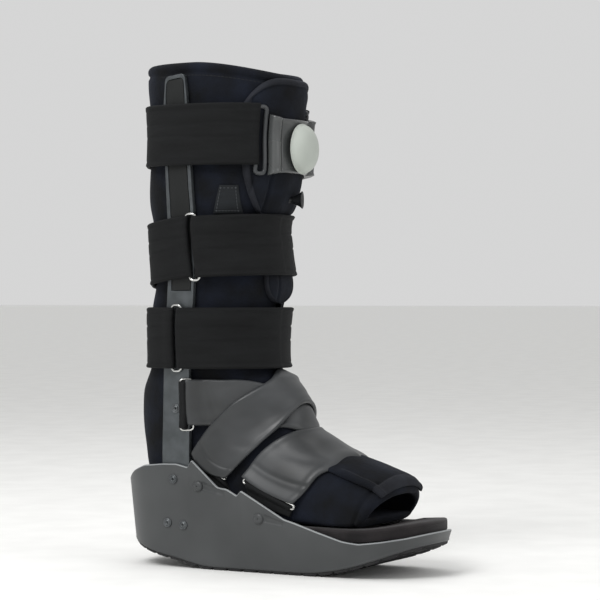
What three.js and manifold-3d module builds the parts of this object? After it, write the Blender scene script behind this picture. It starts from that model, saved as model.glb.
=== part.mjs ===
// Tall medical walking boot: a moulded rocker shell with two uprights, a padded liner
// that closes over the shin and the toes, and straps that hold it shut.
// Millimetres, +Z up, toe towards -Y. The origin is on the flat of the tread.

import * as THREE from "three";
import { mergeVertices } from "three/addons/utils/BufferGeometryUtils.js";
import Module from "manifold-3d";

const wasm = await Module();
wasm.setup();

// Overall sizes
const COLLAR_HEIGHT = 430;
const SOLE_LENGTH = 295;
const SOLE_WIDTH = 118;
const HEEL_WIDTH = 108;
const HEEL_REAR = 124;
const LEG_DEPTH = 120;
const LEG_WIDTH = 112;

// Leg and ankle of the liner
const LEG_AXIS = 37;
const TURN_HEIGHT = 168;
const TURN_FRONT = -80;
const TOE_REACH = 58;
const LINER_WALL = 7;

// Sole
const TREAD_DEPTH = 5;
const TREAD_INSET = 1.2;
const TREAD_EDGE = 1;
const SHELL_WALL = 3;
const SHELL_FLOOR = 4;
const SHELL_DRAFT = 5;
const FOOTBED_TOP = 40.5;
const FOOTBED_THICKNESS = 10;
const TOE_SPRING = 6.5;

// Gaps between neighbours
const FIT_GAP = 0.5;
const LAYER_GAP = 0.6;
const CURVE_ROOM = 0.4;
const RING_GAP = 1.8;

// Uprights
const UPRIGHT_WIDTH = 26.5;
const UPRIGHT_THICKNESS = 5;
const UPRIGHT_DROP = 11;
const UPRIGHT_FOOT = 33;
const UPRIGHT_STAND_OFF = 1.5;
const INSERT_DEPTH = 1.8;
const INSERT_MARGIN = 3.2;
const INSERT_SUNK = 0.3;
const INSERT_UP = 0.26;

// Straps and bands. UP values here and above are shares of the leg's rise over the ankle
const STRAP_WIDTH = 52;
const STRAP_THICKNESS = 3.6;
const BAND_THICKNESS = 3;
const FLAP_THICKNESS = 4;
const TOE_FLAP_THICKNESS = 3;
const STRAP_TOP_UP = 0.7634;
const STRAP_MIDDLE_UP = 0.4008;
const STRAP_LOWER_UP = 0.1069;
const STRAP_REAR_FALL = 9.5;
const STRAP_FRONT_RISE = 2.5;

// Rings, loops and small parts
const RING_WIRE = 2.4;
const RING_SLOT = 6;
const RING_OVERHANG = 3.2;
const SIDE_RING_RISE = 6;
const LOOP_THICKNESS = 2.2;
const SHIN_PLATE_THICKNESS = 3.4;
const SHIN_PLATE_HEIGHT = 46;
const SHIN_PLATE_DROP = 9;
const PUMP_RADIUS = 21.5;
const PUMP_DEPTH = 14.5;
const PUMP_SHIFT = 2;
const PUMP_DROP = 11;
const VALVE_UP = 0.557;
const VALVE_LENGTH = 12;
const VALVE_RADIUS = 7.5;
const VALVE_STEM_RADIUS = 2.6;
const VALVE_SHIFT = 4;
const SCREW_RADIUS = 4;
const SCREW_HEIGHT = 1.8;
const STUD_RADIUS = 4.6;
const STUD_HEIGHT = 2.2;
const TAB_THICKNESS = 1.4;
const HEAD_SIDES = 8;

// Values that follow from the sizes above
const HEEL_HALF = HEEL_WIDTH / 2;
const SOLE_HALF = SOLE_WIDTH / 2;
const LEG_HALF = LEG_WIDTH / 2;
const LINER_BOTTOM = FOOTBED_TOP + FIT_GAP;
const ANKLE_HALF = HEEL_HALF - SHELL_WALL - FIT_GAP - UPRIGHT_THICKNESS - UPRIGHT_STAND_OFF;
const FORE_HALF = SOLE_HALF - SHELL_WALL - FIT_GAP;
const HEEL_REACH = HEEL_REAR - SHELL_WALL - TURN_FRONT;
const FOOT_RISE = TURN_HEIGHT - LINER_BOTTOM;
const LEG_RISE = COLLAR_HEIGHT - TURN_HEIGHT;
const legHeight = (up) => TURN_HEIGHT + up * LEG_RISE;
const UPRIGHT_TOP = COLLAR_HEIGHT - UPRIGHT_DROP;
const INSERT_BOTTOM = legHeight(INSERT_UP);
const STRAP_TOP_HEIGHT = legHeight(STRAP_TOP_UP);
const STRAP_MIDDLE_HEIGHT = legHeight(STRAP_MIDDLE_UP);
const STRAP_LOWER_HEIGHT = legHeight(STRAP_LOWER_UP);
const PUMP_HEIGHT = STRAP_TOP_HEIGHT - PUMP_DROP;
const VALVE_HEIGHT = legHeight(VALVE_UP);
const SIDE_STAND = UPRIGHT_STAND_OFF + UPRIGHT_THICKNESS + FIT_GAP + CURVE_ROOM;
const FRONT_STAND = LAYER_GAP + FLAP_THICKNESS + FIT_GAP + CURVE_ROOM;

const AROUND = 28;
const FULL_TURN = Math.PI * 2;
const HALF_TURN = Math.PI;
const FULL_DEGREES = 360;

// Mesh tools: every solid is a list of points and of faces, turned outwards by its volume

function signedVolume(points, triangles) {
  let sum = 0;
  for (const [a, b, c] of triangles) {
    const [p, q, r] = [points[a], points[b], points[c]];
    sum += p[0] * (q[1] * r[2] - q[2] * r[1]);
    sum += p[1] * (q[2] * r[0] - q[0] * r[2]);
    sum += p[2] * (q[0] * r[1] - q[1] * r[0]);
  }
  return sum / 6;
}

function solid(points, faces) {
  const triangles = [];
  for (const face of faces) {
    for (let i = 1; i < face.length - 1; i += 1) {
      triangles.push([face[0], face[i], face[i + 1]]);
    }
  }
  const outward = signedVolume(points, triangles) > 0;
  const index = triangles.flatMap((t) => (outward ? t : [t[0], t[2], t[1]]));
  const geometry = new THREE.BufferGeometry();
  geometry.setAttribute("position", new THREE.Float32BufferAttribute(points.flat(), 3));
  geometry.setIndex(index);
  return geometry;
}

// Closed loft through rings that all have the same number of points
function loft(rings) {
  const count = rings[0].length;
  const points = rings.flat();
  const faces = [];
  for (let i = 0; i < rings.length - 1; i += 1) {
    for (let j = 0; j < count; j += 1) {
      const next = (j + 1) % count;
      faces.push([i * count + j, i * count + next, (i + 1) * count + next, (i + 1) * count + j]);
    }
  }
  for (const [row, flip] of [[0, true], [rings.length - 1, false]]) {
    const ring = rings[row];
    const middle = [0, 1, 2].map((k) => ring.reduce((sum, p) => sum + p[k], 0) / count);
    const centre = points.push(middle) - 1;
    for (let j = 0; j < count; j += 1) {
      const pair = [row * count + j, row * count + ((j + 1) % count)];
      faces.push(flip ? [centre, pair[1], pair[0]] : [centre, pair[0], pair[1]]);
    }
  }
  return solid(points, faces);
}

// Open tube with a wall: outer rings, inner rings and a flat rim at each end
function tube(outer, inner) {
  const count = outer[0].length;
  const loop = [...outer, ...[...inner].reverse()];
  const points = loop.flat();
  const faces = [];
  for (let i = 0; i < loop.length; i += 1) {
    const following = (i + 1) % loop.length;
    for (let j = 0; j < count; j += 1) {
      const next = (j + 1) % count;
      faces.push([
        i * count + j,
        i * count + next,
        following * count + next,
        following * count + j,
      ]);
    }
  }
  return solid(points, faces);
}

// Plate over a grid: place(u, v, depth) gives a point, with depth 0 inside and 1 outside
function plate(columns, rows, place) {
  const points = [];
  const at = (i, j, side) => side * columns * rows + i * rows + j;
  for (const side of [0, 1]) {
    for (let i = 0; i < columns; i += 1) {
      for (let j = 0; j < rows; j += 1) {
        points.push(place(i / (columns - 1), j / (rows - 1), side));
      }
    }
  }
  const faces = [];
  for (let i = 0; i < columns - 1; i += 1) {
    for (let j = 0; j < rows - 1; j += 1) {
      faces.push([at(i, j, 0), at(i, j + 1, 0), at(i + 1, j + 1, 0), at(i + 1, j, 0)]);
      faces.push([at(i, j, 1), at(i + 1, j, 1), at(i + 1, j + 1, 1), at(i, j + 1, 1)]);
    }
  }
  for (let i = 0; i < columns - 1; i += 1) {
    faces.push([at(i, 0, 0), at(i + 1, 0, 0), at(i + 1, 0, 1), at(i, 0, 1)]);
    const last = rows - 1;
    faces.push([at(i, last, 0), at(i, last, 1), at(i + 1, last, 1), at(i + 1, last, 0)]);
  }
  for (let j = 0; j < rows - 1; j += 1) {
    faces.push([at(0, j, 0), at(0, j, 1), at(0, j + 1, 1), at(0, j + 1, 0)]);
    const last = columns - 1;
    faces.push([at(last, j, 0), at(last, j + 1, 0), at(last, j + 1, 1), at(last, j, 1)]);
  }
  return solid(points, faces);
}

// Flat-sided frame: eight corners outside, eight inside, with place(u, v, depth) for each
function frame(width, height, bar, place) {
  const corners = (halfWidth, halfHeight, cut) => [
    [halfWidth - cut, halfHeight],
    [-halfWidth + cut, halfHeight],
    [-halfWidth, halfHeight - cut],
    [-halfWidth, -halfHeight + cut],
    [-halfWidth + cut, -halfHeight],
    [halfWidth - cut, -halfHeight],
    [halfWidth, -halfHeight + cut],
    [halfWidth, halfHeight - cut],
  ];
  const outer = corners(width / 2, height / 2, bar);
  const innerCut = Math.min(bar, height / 2 - bar) / 2;
  const inner = corners(width / 2 - bar, height / 2 - bar, innerCut);
  const ringAt = (list, depth) => list.map(([u, v]) => place(u, v, depth));
  return tube([ringAt(outer, 0), ringAt(outer, 1)], [ringAt(inner, 0), ringAt(inner, 1)]);
}

function toManifold(geometry) {
  const bare = geometry.clone();
  for (const name of Object.keys(bare.attributes)) {
    if (name !== "position") {
      bare.deleteAttribute(name);
    }
  }
  const merged = mergeVertices(bare);
  const vertProperties = new Float32Array(merged.attributes.position.array);
  const triVerts = new Uint32Array(merged.index.array);
  return new wasm.Manifold(new wasm.Mesh({ numProp: 3, vertProperties, triVerts }));
}

function fromManifold(body) {
  const mesh = body.getMesh();
  const geometry = new THREE.BufferGeometry();
  const points = new THREE.BufferAttribute(new Float32Array(mesh.vertProperties), 3);
  geometry.setAttribute("position", points);
  geometry.setIndex(new THREE.BufferAttribute(new Uint32Array(mesh.triVerts), 1));
  return geometry;
}

// Prism along X over an outline of [y, z] points, from one x to another
function sidePrism(outline, fromX, toX) {
  const rings = [fromX, toX].map((x) => outline.map(([y, z]) => [x, y, z]));
  const count = outline.length;
  const points = rings.flat();
  const faces = [];
  for (let j = 0; j < count; j += 1) {
    const next = (j + 1) % count;
    faces.push([j, next, count + next, count + j]);
  }
  const flat = outline.map(([y, z]) => new THREE.Vector2(y, z));
  for (const [a, b, c] of THREE.ShapeUtils.triangulateShape(flat, [])) {
    faces.push([a, c, b]);
    faces.push([count + a, count + b, count + c]);
  }
  const forward = THREE.ShapeUtils.area(flat) > 0;
  return solid(points, forward ? faces : faces.map((f, i) => (i < count ? f : [...f].reverse())));
}

const mix = (a, b, t) => a + (b - a) * t;

function interpolate(rows, key, value, wanted) {
  const last = rows.length - 1;
  for (let i = 0; i < last; i += 1) {
    const [from, to] = [rows[i][key], rows[i + 1][key]];
    if ((value - from) * (value - to) <= 0 && from !== to) {
      return mix(rows[i][wanted], rows[i + 1][wanted], (value - from) / (to - from));
    }
  }
  const beyond = Math.abs(value - rows[0][key]) < Math.abs(value - rows[last][key]);
  return beyond ? rows[0][wanted] : rows[last][wanted];
}

// Liner sections of the leg. up: share of the leg's rise; front, back: shares of the leg's
// depth from its axis; half: share of the leg's half width
const legTable = [
  { up: 1.0, front: 0.565, back: 0.53, half: 1.005 },
  { up: 0.955, front: 0.56, back: 0.54, half: 1.01 },
  { up: 0.87, front: 0.55, back: 0.535, half: 1.0 },
  { up: 0.76, front: 0.525, back: 0.52, half: 0.98 },
  { up: 0.64, front: 0.52, back: 0.53, half: 0.985 },
  { up: 0.53, front: 0.445, back: 0.525, half: 0.97 },
  { up: 0.49, front: 0.395, back: 0.505, half: 0.955 },
  { up: 0.4, front: 0.4, back: 0.49, half: 0.945 },
  { up: 0.27, front: 0.44, back: 0.485, half: 0.94 },
  { up: 0.2, front: 0.405, back: 0.515, half: 0.93 },
  { up: 0.1, front: 0.385, back: 0.515, half: 0.905 },
  { up: 0.0, front: 0.415, back: 0.545, half: 0.87 },
];

// Liner sections of the ankle turn, from front to back of each. Y columns: shares of the
// heel's reach, rearwards; down columns: shares of the foot's rise; half: of the ankle's
const turnTable = [
  { frontY: 0.303, frontDown: 0.044, backY: 0.945, backDown: 0.142, half: 1.1, square: 2.3 },
  { frontY: 0.29, frontDown: 0.076, backY: 0.952, backDown: 0.26, half: 1.07, square: 2.3 },
  { frontY: 0.273, frontDown: 0.11, backY: 0.95, backDown: 0.394, half: 1.04, square: 2.3 },
  { frontY: 0.255, frontDown: 0.143, backY: 0.935, backDown: 0.535, half: 1.015, square: 2.4 },
  { frontY: 0.242, frontDown: 0.172, backY: 0.92, backDown: 0.661, half: 1.0, square: 2.5 },
  { frontY: 0.226, frontDown: 0.203, backY: 0.885, backDown: 0.803, half: 0.985, square: 2.7 },
  { frontY: 0.21, frontDown: 0.235, backY: 0.83, backDown: 0.93, half: 0.975, square: 2.9 },
  { frontY: 0.195, frontDown: 0.262, backY: 0.74, backDown: 0.992, half: 0.97, square: 3.2 },
  { frontY: 0.183, frontDown: 0.304, backY: 0.6, backDown: 1.0, half: 0.975, square: 4 },
  { frontY: 0.155, frontDown: 0.415, backY: 0.4, backDown: 1.0, half: 1.02, square: 5 },
  { frontY: 0.085, frontDown: 0.505, backY: 0.2, backDown: 1.0, half: 1.09, square: 6 },
  { frontY: 0.0, frontDown: 0.555, backY: 0.0, backDown: 1.0, half: 1.14, square: 7 },
];

// Liner sections of the toes. Y columns: shares of the toe's reach, forwards; down: share
// of the foot's rise; half: share of the forefoot's half width
const toeTable = [
  { topY: 0.3, topDown: 0.6, soleY: 0.2, soleDown: 1.0, half: 0.955 },
  { topY: 0.57, topDown: 0.645, soleY: 0.38, soleDown: 1.0, half: 0.95 },
  { topY: 0.8, topDown: 0.69, soleY: 0.54, soleDown: 0.995, half: 0.92 },
  { topY: 1.0, topDown: 0.765, soleY: 0.64, soleDown: 0.985, half: 0.86 },
];

const footY = (share) => TURN_FRONT + share * (share > 0 ? HEEL_REACH : TOE_REACH);
const footZ = (down) => TURN_HEIGHT - down * FOOT_RISE;

// Rows of the whole liner, collar first. low is where the widest place lies, from the back
const LEG_SQUARE = 2.3;
const TOP_SQUARE = 2.2;
const TOE_SQUARE = 7;
const TOE_LOW = 0.24;
const FRONT_DIP = 9;
const DIP_START = 0.7;

const legRows = legTable.map((row) => ({
  z: legHeight(row.up),
  front: [LEG_AXIS - row.front * LEG_DEPTH, legHeight(row.up)],
  back: [LEG_AXIS + row.back * LEG_DEPTH, legHeight(row.up)],
  frontY: LEG_AXIS - row.front * LEG_DEPTH,
  backY: LEG_AXIS + row.back * LEG_DEPTH,
  half: row.half * LEG_HALF,
  square: LEG_SQUARE,
  low: 0.5,
}));

const turnRows = turnTable.map((row, i) => ({
  front: [footY(row.frontY), footZ(row.frontDown)],
  back: [footY(row.backY), footZ(row.backDown)],
  half: row.half * ANKLE_HALF,
  square: row.square,
  low: mix(0.5, TOE_LOW, i / (turnTable.length - 1)),
}));

const toeRows = toeTable.map((row) => ({
  front: [footY(-row.topY), footZ(row.topDown)],
  back: [footY(-row.soleY), footZ(row.soleDown)],
  half: row.half * FORE_HALF,
  square: TOE_SQUARE,
  low: TOE_LOW,
}));

const linerRows = [...legRows, ...turnRows, ...toeRows];

// Point of a liner section: turn 0 at its front, a quarter turn at its -X side
function sectionPoint(row, turn, offset) {
  const [along, across] = [Math.cos(turn), Math.sin(turn)];
  const square = along > 0 ? TOP_SQUARE : row.square;
  const power = 2 / square;
  const a = Math.sign(along) * Math.abs(along) ** power;
  const b = Math.sign(across) * Math.abs(across) ** power;
  const [dy, dz] = [row.front[0] - row.back[0], row.front[1] - row.back[1]];
  const length = Math.hypot(dy, dz);
  const reach = length * (along > 0 ? 1 - row.low : row.low);
  const slopeA = (Math.sign(a) * Math.abs(a) ** (square - 1)) / reach;
  const slopeB = (Math.sign(b) * Math.abs(b) ** (square - 1)) / row.half;
  const slope = Math.hypot(slopeA, slopeB);
  const forward = a * reach + (offset * slopeA) / slope;
  const aside = b * row.half + (offset * slopeB) / slope;
  const [uy, uz] = [dy / length, dz / length];
  const centre = [row.back[0] + dy * row.low, row.back[1] + dz * row.low];
  return [-aside, centre[0] + uy * forward, centre[1] + uz * forward];
}

const turnsAround = Array.from({ length: AROUND }, (unused, i) => (i / AROUND) * FULL_TURN);

function linerRing(row, offset) {
  return turnsAround.map((turn) => sectionPoint(row, turn, offset));
}

// The collar and the rows under it dip towards the front of the shin
function dippedRing(row, offset) {
  const up = (row.front[1] - TURN_HEIGHT) / LEG_RISE;
  const share = Math.max(0, (up - DIP_START) / (1 - DIP_START));
  return linerRing(row, offset).map(([x, y, z]) => {
    const forward = Math.max(0, (LEG_AXIS - y) / (LEG_DEPTH / 2));
    return [x, y, z - FRONT_DIP * share * forward ** 1.6];
  });
}

function linerRings(offset) {
  return linerRows.map((row) => dippedRing(row, offset));
}

// Width of the liner where a level line across it leaves its side
function linerSide(y, z) {
  for (let i = 0; i < linerRows.length - 1; i += 1) {
    const side = (row) => {
      const [dy, dz] = [row.front[0] - row.back[0], row.front[1] - row.back[1]];
      return dy * (z - row.back[1]) - dz * (y - row.back[0]);
    };
    const [before, after] = [side(linerRows[i]), side(linerRows[i + 1])];
    if (before * after <= 0 && before !== after) {
      const t = before / (before - after);
      const blend = (key) => mix(linerRows[i][key], linerRows[i + 1][key], t);
      const pick = (key, k) => mix(linerRows[i][key][k], linerRows[i + 1][key][k], t);
      const [frontY, frontZ] = [pick("front", 0), pick("front", 1)];
      const [backY, backZ] = [pick("back", 0), pick("back", 1)];
      const length = Math.hypot(frontY - backY, frontZ - backZ);
      const along = ((y - backY) * (frontY - backY) + (z - backZ) * (frontZ - backZ)) / length;
      const low = blend("low");
      const forward = along - low * length;
      const reach = length * (forward > 0 ? 1 - low : low);
      const square = forward > 0 ? TOP_SQUARE : blend("square");
      const share = Math.min(1, Math.abs(forward / reach));
      return blend("half") * (1 - share ** square) ** (1 / square);
    }
  }
  return 0;
}

// Section of the leg at a height, and the wrap that lies over liner, flap and uprights
function legRowAt(z) {
  const value = (key) => interpolate(legRows, "z", z, key);
  return {
    front: [value("frontY"), z],
    back: [value("backY"), z],
    half: value("half"),
    square: LEG_SQUARE,
    low: 0.5,
  };
}

function wrapPoint(turn, z, depth) {
  const sideways = Math.min(1, Math.max(0, (Math.sin(turn) ** 2 - 0.3) / 0.45));
  const ease = sideways * sideways * (3 - 2 * sideways);
  const ends = Math.cos(turn) > 0 ? FRONT_STAND : LAYER_GAP;
  const stand = Math.max(mix(ends, SIDE_STAND, ease), ends);
  return sectionPoint(legRowAt(z), turn, stand + depth);
}

// Liner: one padded tube from collar to toe opening
function makeLiner() {
  return tube(linerRings(0), linerRings(-LINER_WALL));
}

// Layer that follows the liner, cut to an outline seen from the side
function layerOnLiner(inner, outer, outline, fromX, toX, firstRow, lastRow) {
  const skin = (offset) => toManifold(loft(linerRings(offset).slice(firstRow, lastRow + 1)));
  const cutter = toManifold(sidePrism(outline, fromX, toX));
  const cut = skin(outer).intersect(cutter);
  return fromManifold(cut.subtract(skinCore(inner)));
}

// The liner's own outline grown by an offset and run past both ends, to hollow a layer
function skinCore(offset) {
  const rings = linerRings(offset);
  const [top, end] = [rings[0], rings[rings.length - 1]];
  const lifted = top.map(([x, y, z]) => [x, y, z + LEG_RISE]);
  const pushed = end.map(([x, y, z]) => [x, y - TOE_REACH, z - TOE_REACH * 0.6]);
  return toManifold(loft([lifted, ...rings, pushed]));
}

const WIDE = LEG_WIDTH + SOLE_WIDTH;

const fromFoot = (outline) => outline.map(({ y, down }) => [footY(y), footZ(down)]);

// Front flap: from under the collar's dip down to the ankle band, with a rounded corner.
// y: share of leg depth forward of the axis; up: share of the leg's rise
const flapEdge = [
  { y: 0.62, up: 0.958 },
  { y: 0.53, up: 0.95 },
  { y: 0.49, up: 0.94 },
  { y: 0.42, up: 0.915 },
  { y: 0.365, up: 0.88 },
  { y: 0.34, up: 0.83 },
  { y: 0.345, up: 0.64 },
  { y: 0.38, up: 0.5 },
  { y: 0.41, up: 0.3 },
  { y: 0.425, up: 0.05 },
  { y: 0.425, up: -0.018 },
  { y: 0.9, up: -0.018 },
  { y: 0.9, up: 0.958 },
];

const FLAP_LAST_ROW = 4;

function makeFrontFlap() {
  const outline = flapEdge.map(({ y, up }) => [LEG_AXIS - y * LEG_DEPTH, legHeight(up)]);
  const outer = LAYER_GAP + FLAP_THICKNESS;
  const lastRow = legRows.length + FLAP_LAST_ROW;
  return layerOnLiner(LAYER_GAP, outer, outline, -WIDE, WIDE, 0, lastRow);
}

// Bands over the foot. y: share of the heel's reach, or forwards of the toe's; down: share
// of the foot's rise
const ankleBandOutline = [
  { y: 0.585, down: 0.055 },
  { y: 0.45, down: 0.052 },
  { y: 0.15, down: 0.06 },
  { y: 0.05, down: 0.3 },
  { y: 0.3, down: 0.345 },
  { y: 0.585, down: 0.36 },
];

const instepBandOutline = [
  { y: 0.589, down: 0.52 },
  { y: 0.5, down: 0.354 },
  { y: 0.39, down: 0.21 },
  { y: 0.283, down: 0.083 },
  { y: 0.25, down: 0.012 },
  { y: 0.1, down: 0.012 },
  { y: 0.1, down: 0.2 },
  { y: 0.165, down: 0.218 },
  { y: 0.176, down: 0.302 },
  { y: 0.25, down: 0.41 },
  { y: 0.328, down: 0.53 },
  { y: 0.43, down: 0.685 },
];

const toeBandOutline = [
  { y: 0.365, down: 0.682 },
  { y: 0.258, down: 0.468 },
  { y: 0.215, down: 0.41 },
  { y: 0.165, down: 0.375 },
  { y: 0.12, down: 0.35 },
  { y: 0.12, down: 0.15 },
  { y: -0.34, down: 0.15 },
  { y: -0.34, down: 0.555 },
  { y: -0.165, down: 0.575 },
  { y: 0.02, down: 0.655 },
  { y: 0.055, down: 0.75 },
  { y: 0.108, down: 0.845 },
];

function makeFootBand(outline, inner) {
  const outer = inner + BAND_THICKNESS;
  const first = legRows.length - 2;
  const last = linerRows.length - 1;
  return layerOnLiner(inner, outer, fromFoot(outline), -WIDE, WIDE, first, last);
}

// Toe flap: the liner's upper layer in front of the toe band
const toeFlapOutline = [
  { y: -0.36, down: 0.15 },
  { y: -0.36, down: 0.563 },
  { y: -0.19, down: 0.585 },
  { y: -0.03, down: 0.65 },
  { y: -0.3, down: 0.668 },
  { y: -0.71, down: 0.68 },
  { y: -0.9, down: 0.712 },
  { y: -1.2, down: 0.76 },
  { y: -1.2, down: 0.15 },
];

const TOE_FLAP_FIRST_ROW = 8;

function makeToeFlap() {
  const outer = LAYER_GAP + TOE_FLAP_THICKNESS;
  const outline = fromFoot(toeFlapOutline);
  const first = legRows.length + TOE_FLAP_FIRST_ROW;
  const last = linerRows.length - 1;
  return layerOnLiner(LAYER_GAP, outer, outline, -WIDE, WIDE, first, last);
}

// Plate on the liner's side between four [y, z] corners, from one depth to another
function sidePlate(corners, inner, outer, side, columns, rows) {
  return plate(columns, rows, (u, v, face) => {
    const [a, b, c, d] = corners;
    const y = mix(mix(a[0], b[0], u), mix(d[0], c[0], u), v);
    const z = mix(mix(a[1], b[1], u), mix(d[1], c[1], u), v);
    return [side * (linerSide(y, z) + (face ? outer : inner)), y, z];
  });
}

// Small sewn tab on the -X side of the liner, behind the flap's edge.
// y: share of leg depth forward of the axis; up: share of the leg's rise
const tabCorners = [
  { y: 0.205, up: 0.6 },
  { y: 0.325, up: 0.6 },
  { y: 0.325, up: 0.508 },
  { y: 0.15, up: 0.508 },
];

function makeTab() {
  const corners = tabCorners.map(({ y, up }) => [LEG_AXIS - y * LEG_DEPTH, legHeight(up)]);
  const inner = FIT_GAP + CURVE_ROOM;
  return sidePlate(corners, inner, inner + TAB_THICKNESS, -1, 4, 5);
}

// Shell plan: half width and reach, drawn as a heel arc, straight sides and a toe arc
const HEEL_ARC_CENTRE = HEEL_REAR - HEEL_WIDTH * 0.5;
const TOE_TIP = HEEL_REAR - SOLE_LENGTH;
const TOE_ARC_REACH = SOLE_WIDTH * 0.56;
const TOE_ARC_CENTRE = TOE_TIP + TOE_ARC_REACH;
const TOE_ARC_SQUARE = 2.35;
const HEEL_ARC_STEPS = 7;
const TOE_ARC_STEPS = 8;

// Heights of the shell's rim. y: share of the sole's length from the heel's rear;
// rim: share of the shell's height. A step is two rows with the same y
const SHELL_HEIGHT = 96;
const rimTable = [
  { y: 0.0, rim: 0.745 },
  { y: 0.03, rim: 0.775 },
  { y: 0.07, rim: 0.85 },
  { y: 0.12, rim: 0.905 },
  { y: 0.19, rim: 0.925 },
  { y: 0.235, rim: 0.928 },
  { y: 0.27, rim: 0.905 },
  { y: 0.2801, rim: 0.9 },
  { y: 0.2821, rim: 0.98 },
  { y: 0.375, rim: 0.735 },
  { y: 0.405, rim: 0.725 },
  { y: 0.44, rim: 0.672 },
  { y: 0.4455, rim: 0.665 },
  { y: 0.4475, rim: 0.725 },
  { y: 0.595, rim: 0.488 },
  { y: 0.63, rim: 0.46 },
  { y: 0.7, rim: 0.395 },
  { y: 0.78, rim: 0.325 },
  { y: 0.83, rim: 0.308 },
  { y: 0.89, rim: 0.33 },
  { y: 0.95, rim: 0.36 },
  { y: 1.0, rim: 0.395 },
];

// Rocker of the tread. y: share of the sole's length; lift: share of the shell's height
const rockerTable = [
  { y: 0.0, lift: 0.215 },
  { y: 0.06, lift: 0.17 },
  { y: 0.13, lift: 0.12 },
  { y: 0.2, lift: 0.08 },
  { y: 0.26, lift: 0.04 },
  { y: 0.32, lift: 0.0 },
  { y: 0.66, lift: 0.0 },
  { y: 0.72, lift: 0.02 },
  { y: 0.79, lift: 0.062 },
  { y: 0.86, lift: 0.125 },
  { y: 0.93, lift: 0.2 },
  { y: 1.0, lift: 0.275 },
];

const soleShare = (y) => (HEEL_REAR - y) / SOLE_LENGTH;
const rimAt = (y) => SHELL_HEIGHT * interpolate(rimTable, "y", soleShare(y), "rim");
const treadAt = (y) => SHELL_HEIGHT * interpolate(rockerTable, "y", soleShare(y), "lift");

// Height of the footbed's top: level under the foot, rising with the rim at the toe
const footbedTable = [
  { y: 0.0, rise: 0 },
  { y: 0.83, rise: 0 },
  { y: 0.92, rise: TOE_SPRING * 0.46 },
  { y: 1.0, rise: TOE_SPRING },
];
const footbedTopAt = (y) => FOOTBED_TOP + interpolate(footbedTable, "y", soleShare(y), "rise");
const floorTopAt = (y) => footbedTopAt(y) - FOOTBED_THICKNESS - FIT_GAP;

// Half of the plan outline, from the heel's rear to the toe's tip, with an inset at each y
function halfPlan(insetAt) {
  const list = [];
  for (let i = 0; i <= HEEL_ARC_STEPS; i += 1) {
    const turn = (i / HEEL_ARC_STEPS) * (HALF_TURN / 2);
    const radius = HEEL_HALF - insetAt(HEEL_ARC_CENTRE + HEEL_HALF * Math.cos(turn));
    list.push([radius * Math.sin(turn), HEEL_ARC_CENTRE + radius * Math.cos(turn)]);
  }
  const sideRows = rimTable
    .map((row) => HEEL_REAR - row.y * SOLE_LENGTH)
    .filter((y) => y < HEEL_ARC_CENTRE - 3 && y > TOE_ARC_CENTRE + 3);
  for (const y of sideRows) {
    const t = (HEEL_ARC_CENTRE - y) / (HEEL_ARC_CENTRE - TOE_ARC_CENTRE);
    const ease = t * t * (3 - 2 * t);
    list.push([mix(HEEL_HALF, SOLE_HALF, ease) - insetAt(y), y]);
  }
  for (let i = 0; i <= TOE_ARC_STEPS; i += 1) {
    const turn = (i / TOE_ARC_STEPS) * (HALF_TURN / 2);
    const power = 2 / TOE_ARC_SQUARE;
    const [wide, far] = [Math.cos(turn) ** power, Math.sin(turn) ** power];
    const inset = insetAt(TOE_ARC_CENTRE - TOE_ARC_REACH * far);
    list.push([(SOLE_HALF - inset) * wide, TOE_ARC_CENTRE - (TOE_ARC_REACH - inset) * far]);
  }
  list[0][0] = 0;
  list[list.length - 1][0] = 0;
  return list;
}

// Column of points of a sole piece: each level gives its inset and its height
function soleLoft(levels) {
  const reference = halfPlan(() => 0);
  const halves = levels.map(({ inset, height }) =>
    halfPlan(inset).map(([x, y], i) => [x, y, height(reference[i][1])]),
  );
  const count = halves[0].length;
  const points = [];
  const place = (level, i, side) => {
    const middle = i === 0 || i === count - 1;
    return level * (2 * count - 2) + (middle || side > 0 ? i : 2 * count - 2 - i);
  };
  for (const half of halves) {
    points.push(...half);
    for (let i = count - 2; i > 0; i -= 1) {
      points.push([-half[i][0], half[i][1], half[i][2]]);
    }
  }
  const faces = [];
  for (let level = 0; level < halves.length - 1; level += 1) {
    for (let i = 0; i < count - 1; i += 1) {
      faces.push([
        place(level, i, 1),
        place(level, i + 1, 1),
        place(level + 1, i + 1, 1),
        place(level + 1, i, 1),
      ]);
      faces.push([
        place(level, i, -1),
        place(level + 1, i, -1),
        place(level + 1, i + 1, -1),
        place(level, i + 1, -1),
      ]);
    }
  }
  const across = (level, flip) => {
    for (let i = 0; i < count - 1; i += 1) {
      const face = [
        place(level, i, 1),
        place(level, i, -1),
        place(level, i + 1, -1),
        place(level, i + 1, 1),
      ];
      const trimmed = face.filter((value, k) => face.indexOf(value) === k);
      faces.push(flip ? trimmed.reverse() : trimmed);
    }
  };
  across(0, false);
  across(halves.length - 1, true);
  return solid(points, faces);
}

const wallFootAt = (y) => treadAt(y) + TREAD_DEPTH;

// Draft: the wall leans in from its rim to its foot
function draftAt(y, z) {
  const foot = wallFootAt(y);
  return SHELL_DRAFT * (1 - (z - foot) / (rimAt(y) - foot));
}

const RIM_EDGE = 0.9;

function makeShell() {
  const floorUnder = (y) => floorTopAt(y) - SHELL_FLOOR;
  const level = (extra, height) => ({ inset: (y) => draftAt(y, height(y)) + extra, height });
  return soleLoft([
    level(SHELL_WALL, floorUnder),
    level(SHELL_WALL, wallFootAt),
    level(RIM_EDGE, wallFootAt),
    level(0, (y) => wallFootAt(y) + RIM_EDGE),
    level(0, (y) => rimAt(y) - RIM_EDGE),
    level(RIM_EDGE, rimAt),
    level(SHELL_WALL, rimAt),
    level(SHELL_WALL, floorTopAt),
  ]);
}

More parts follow.
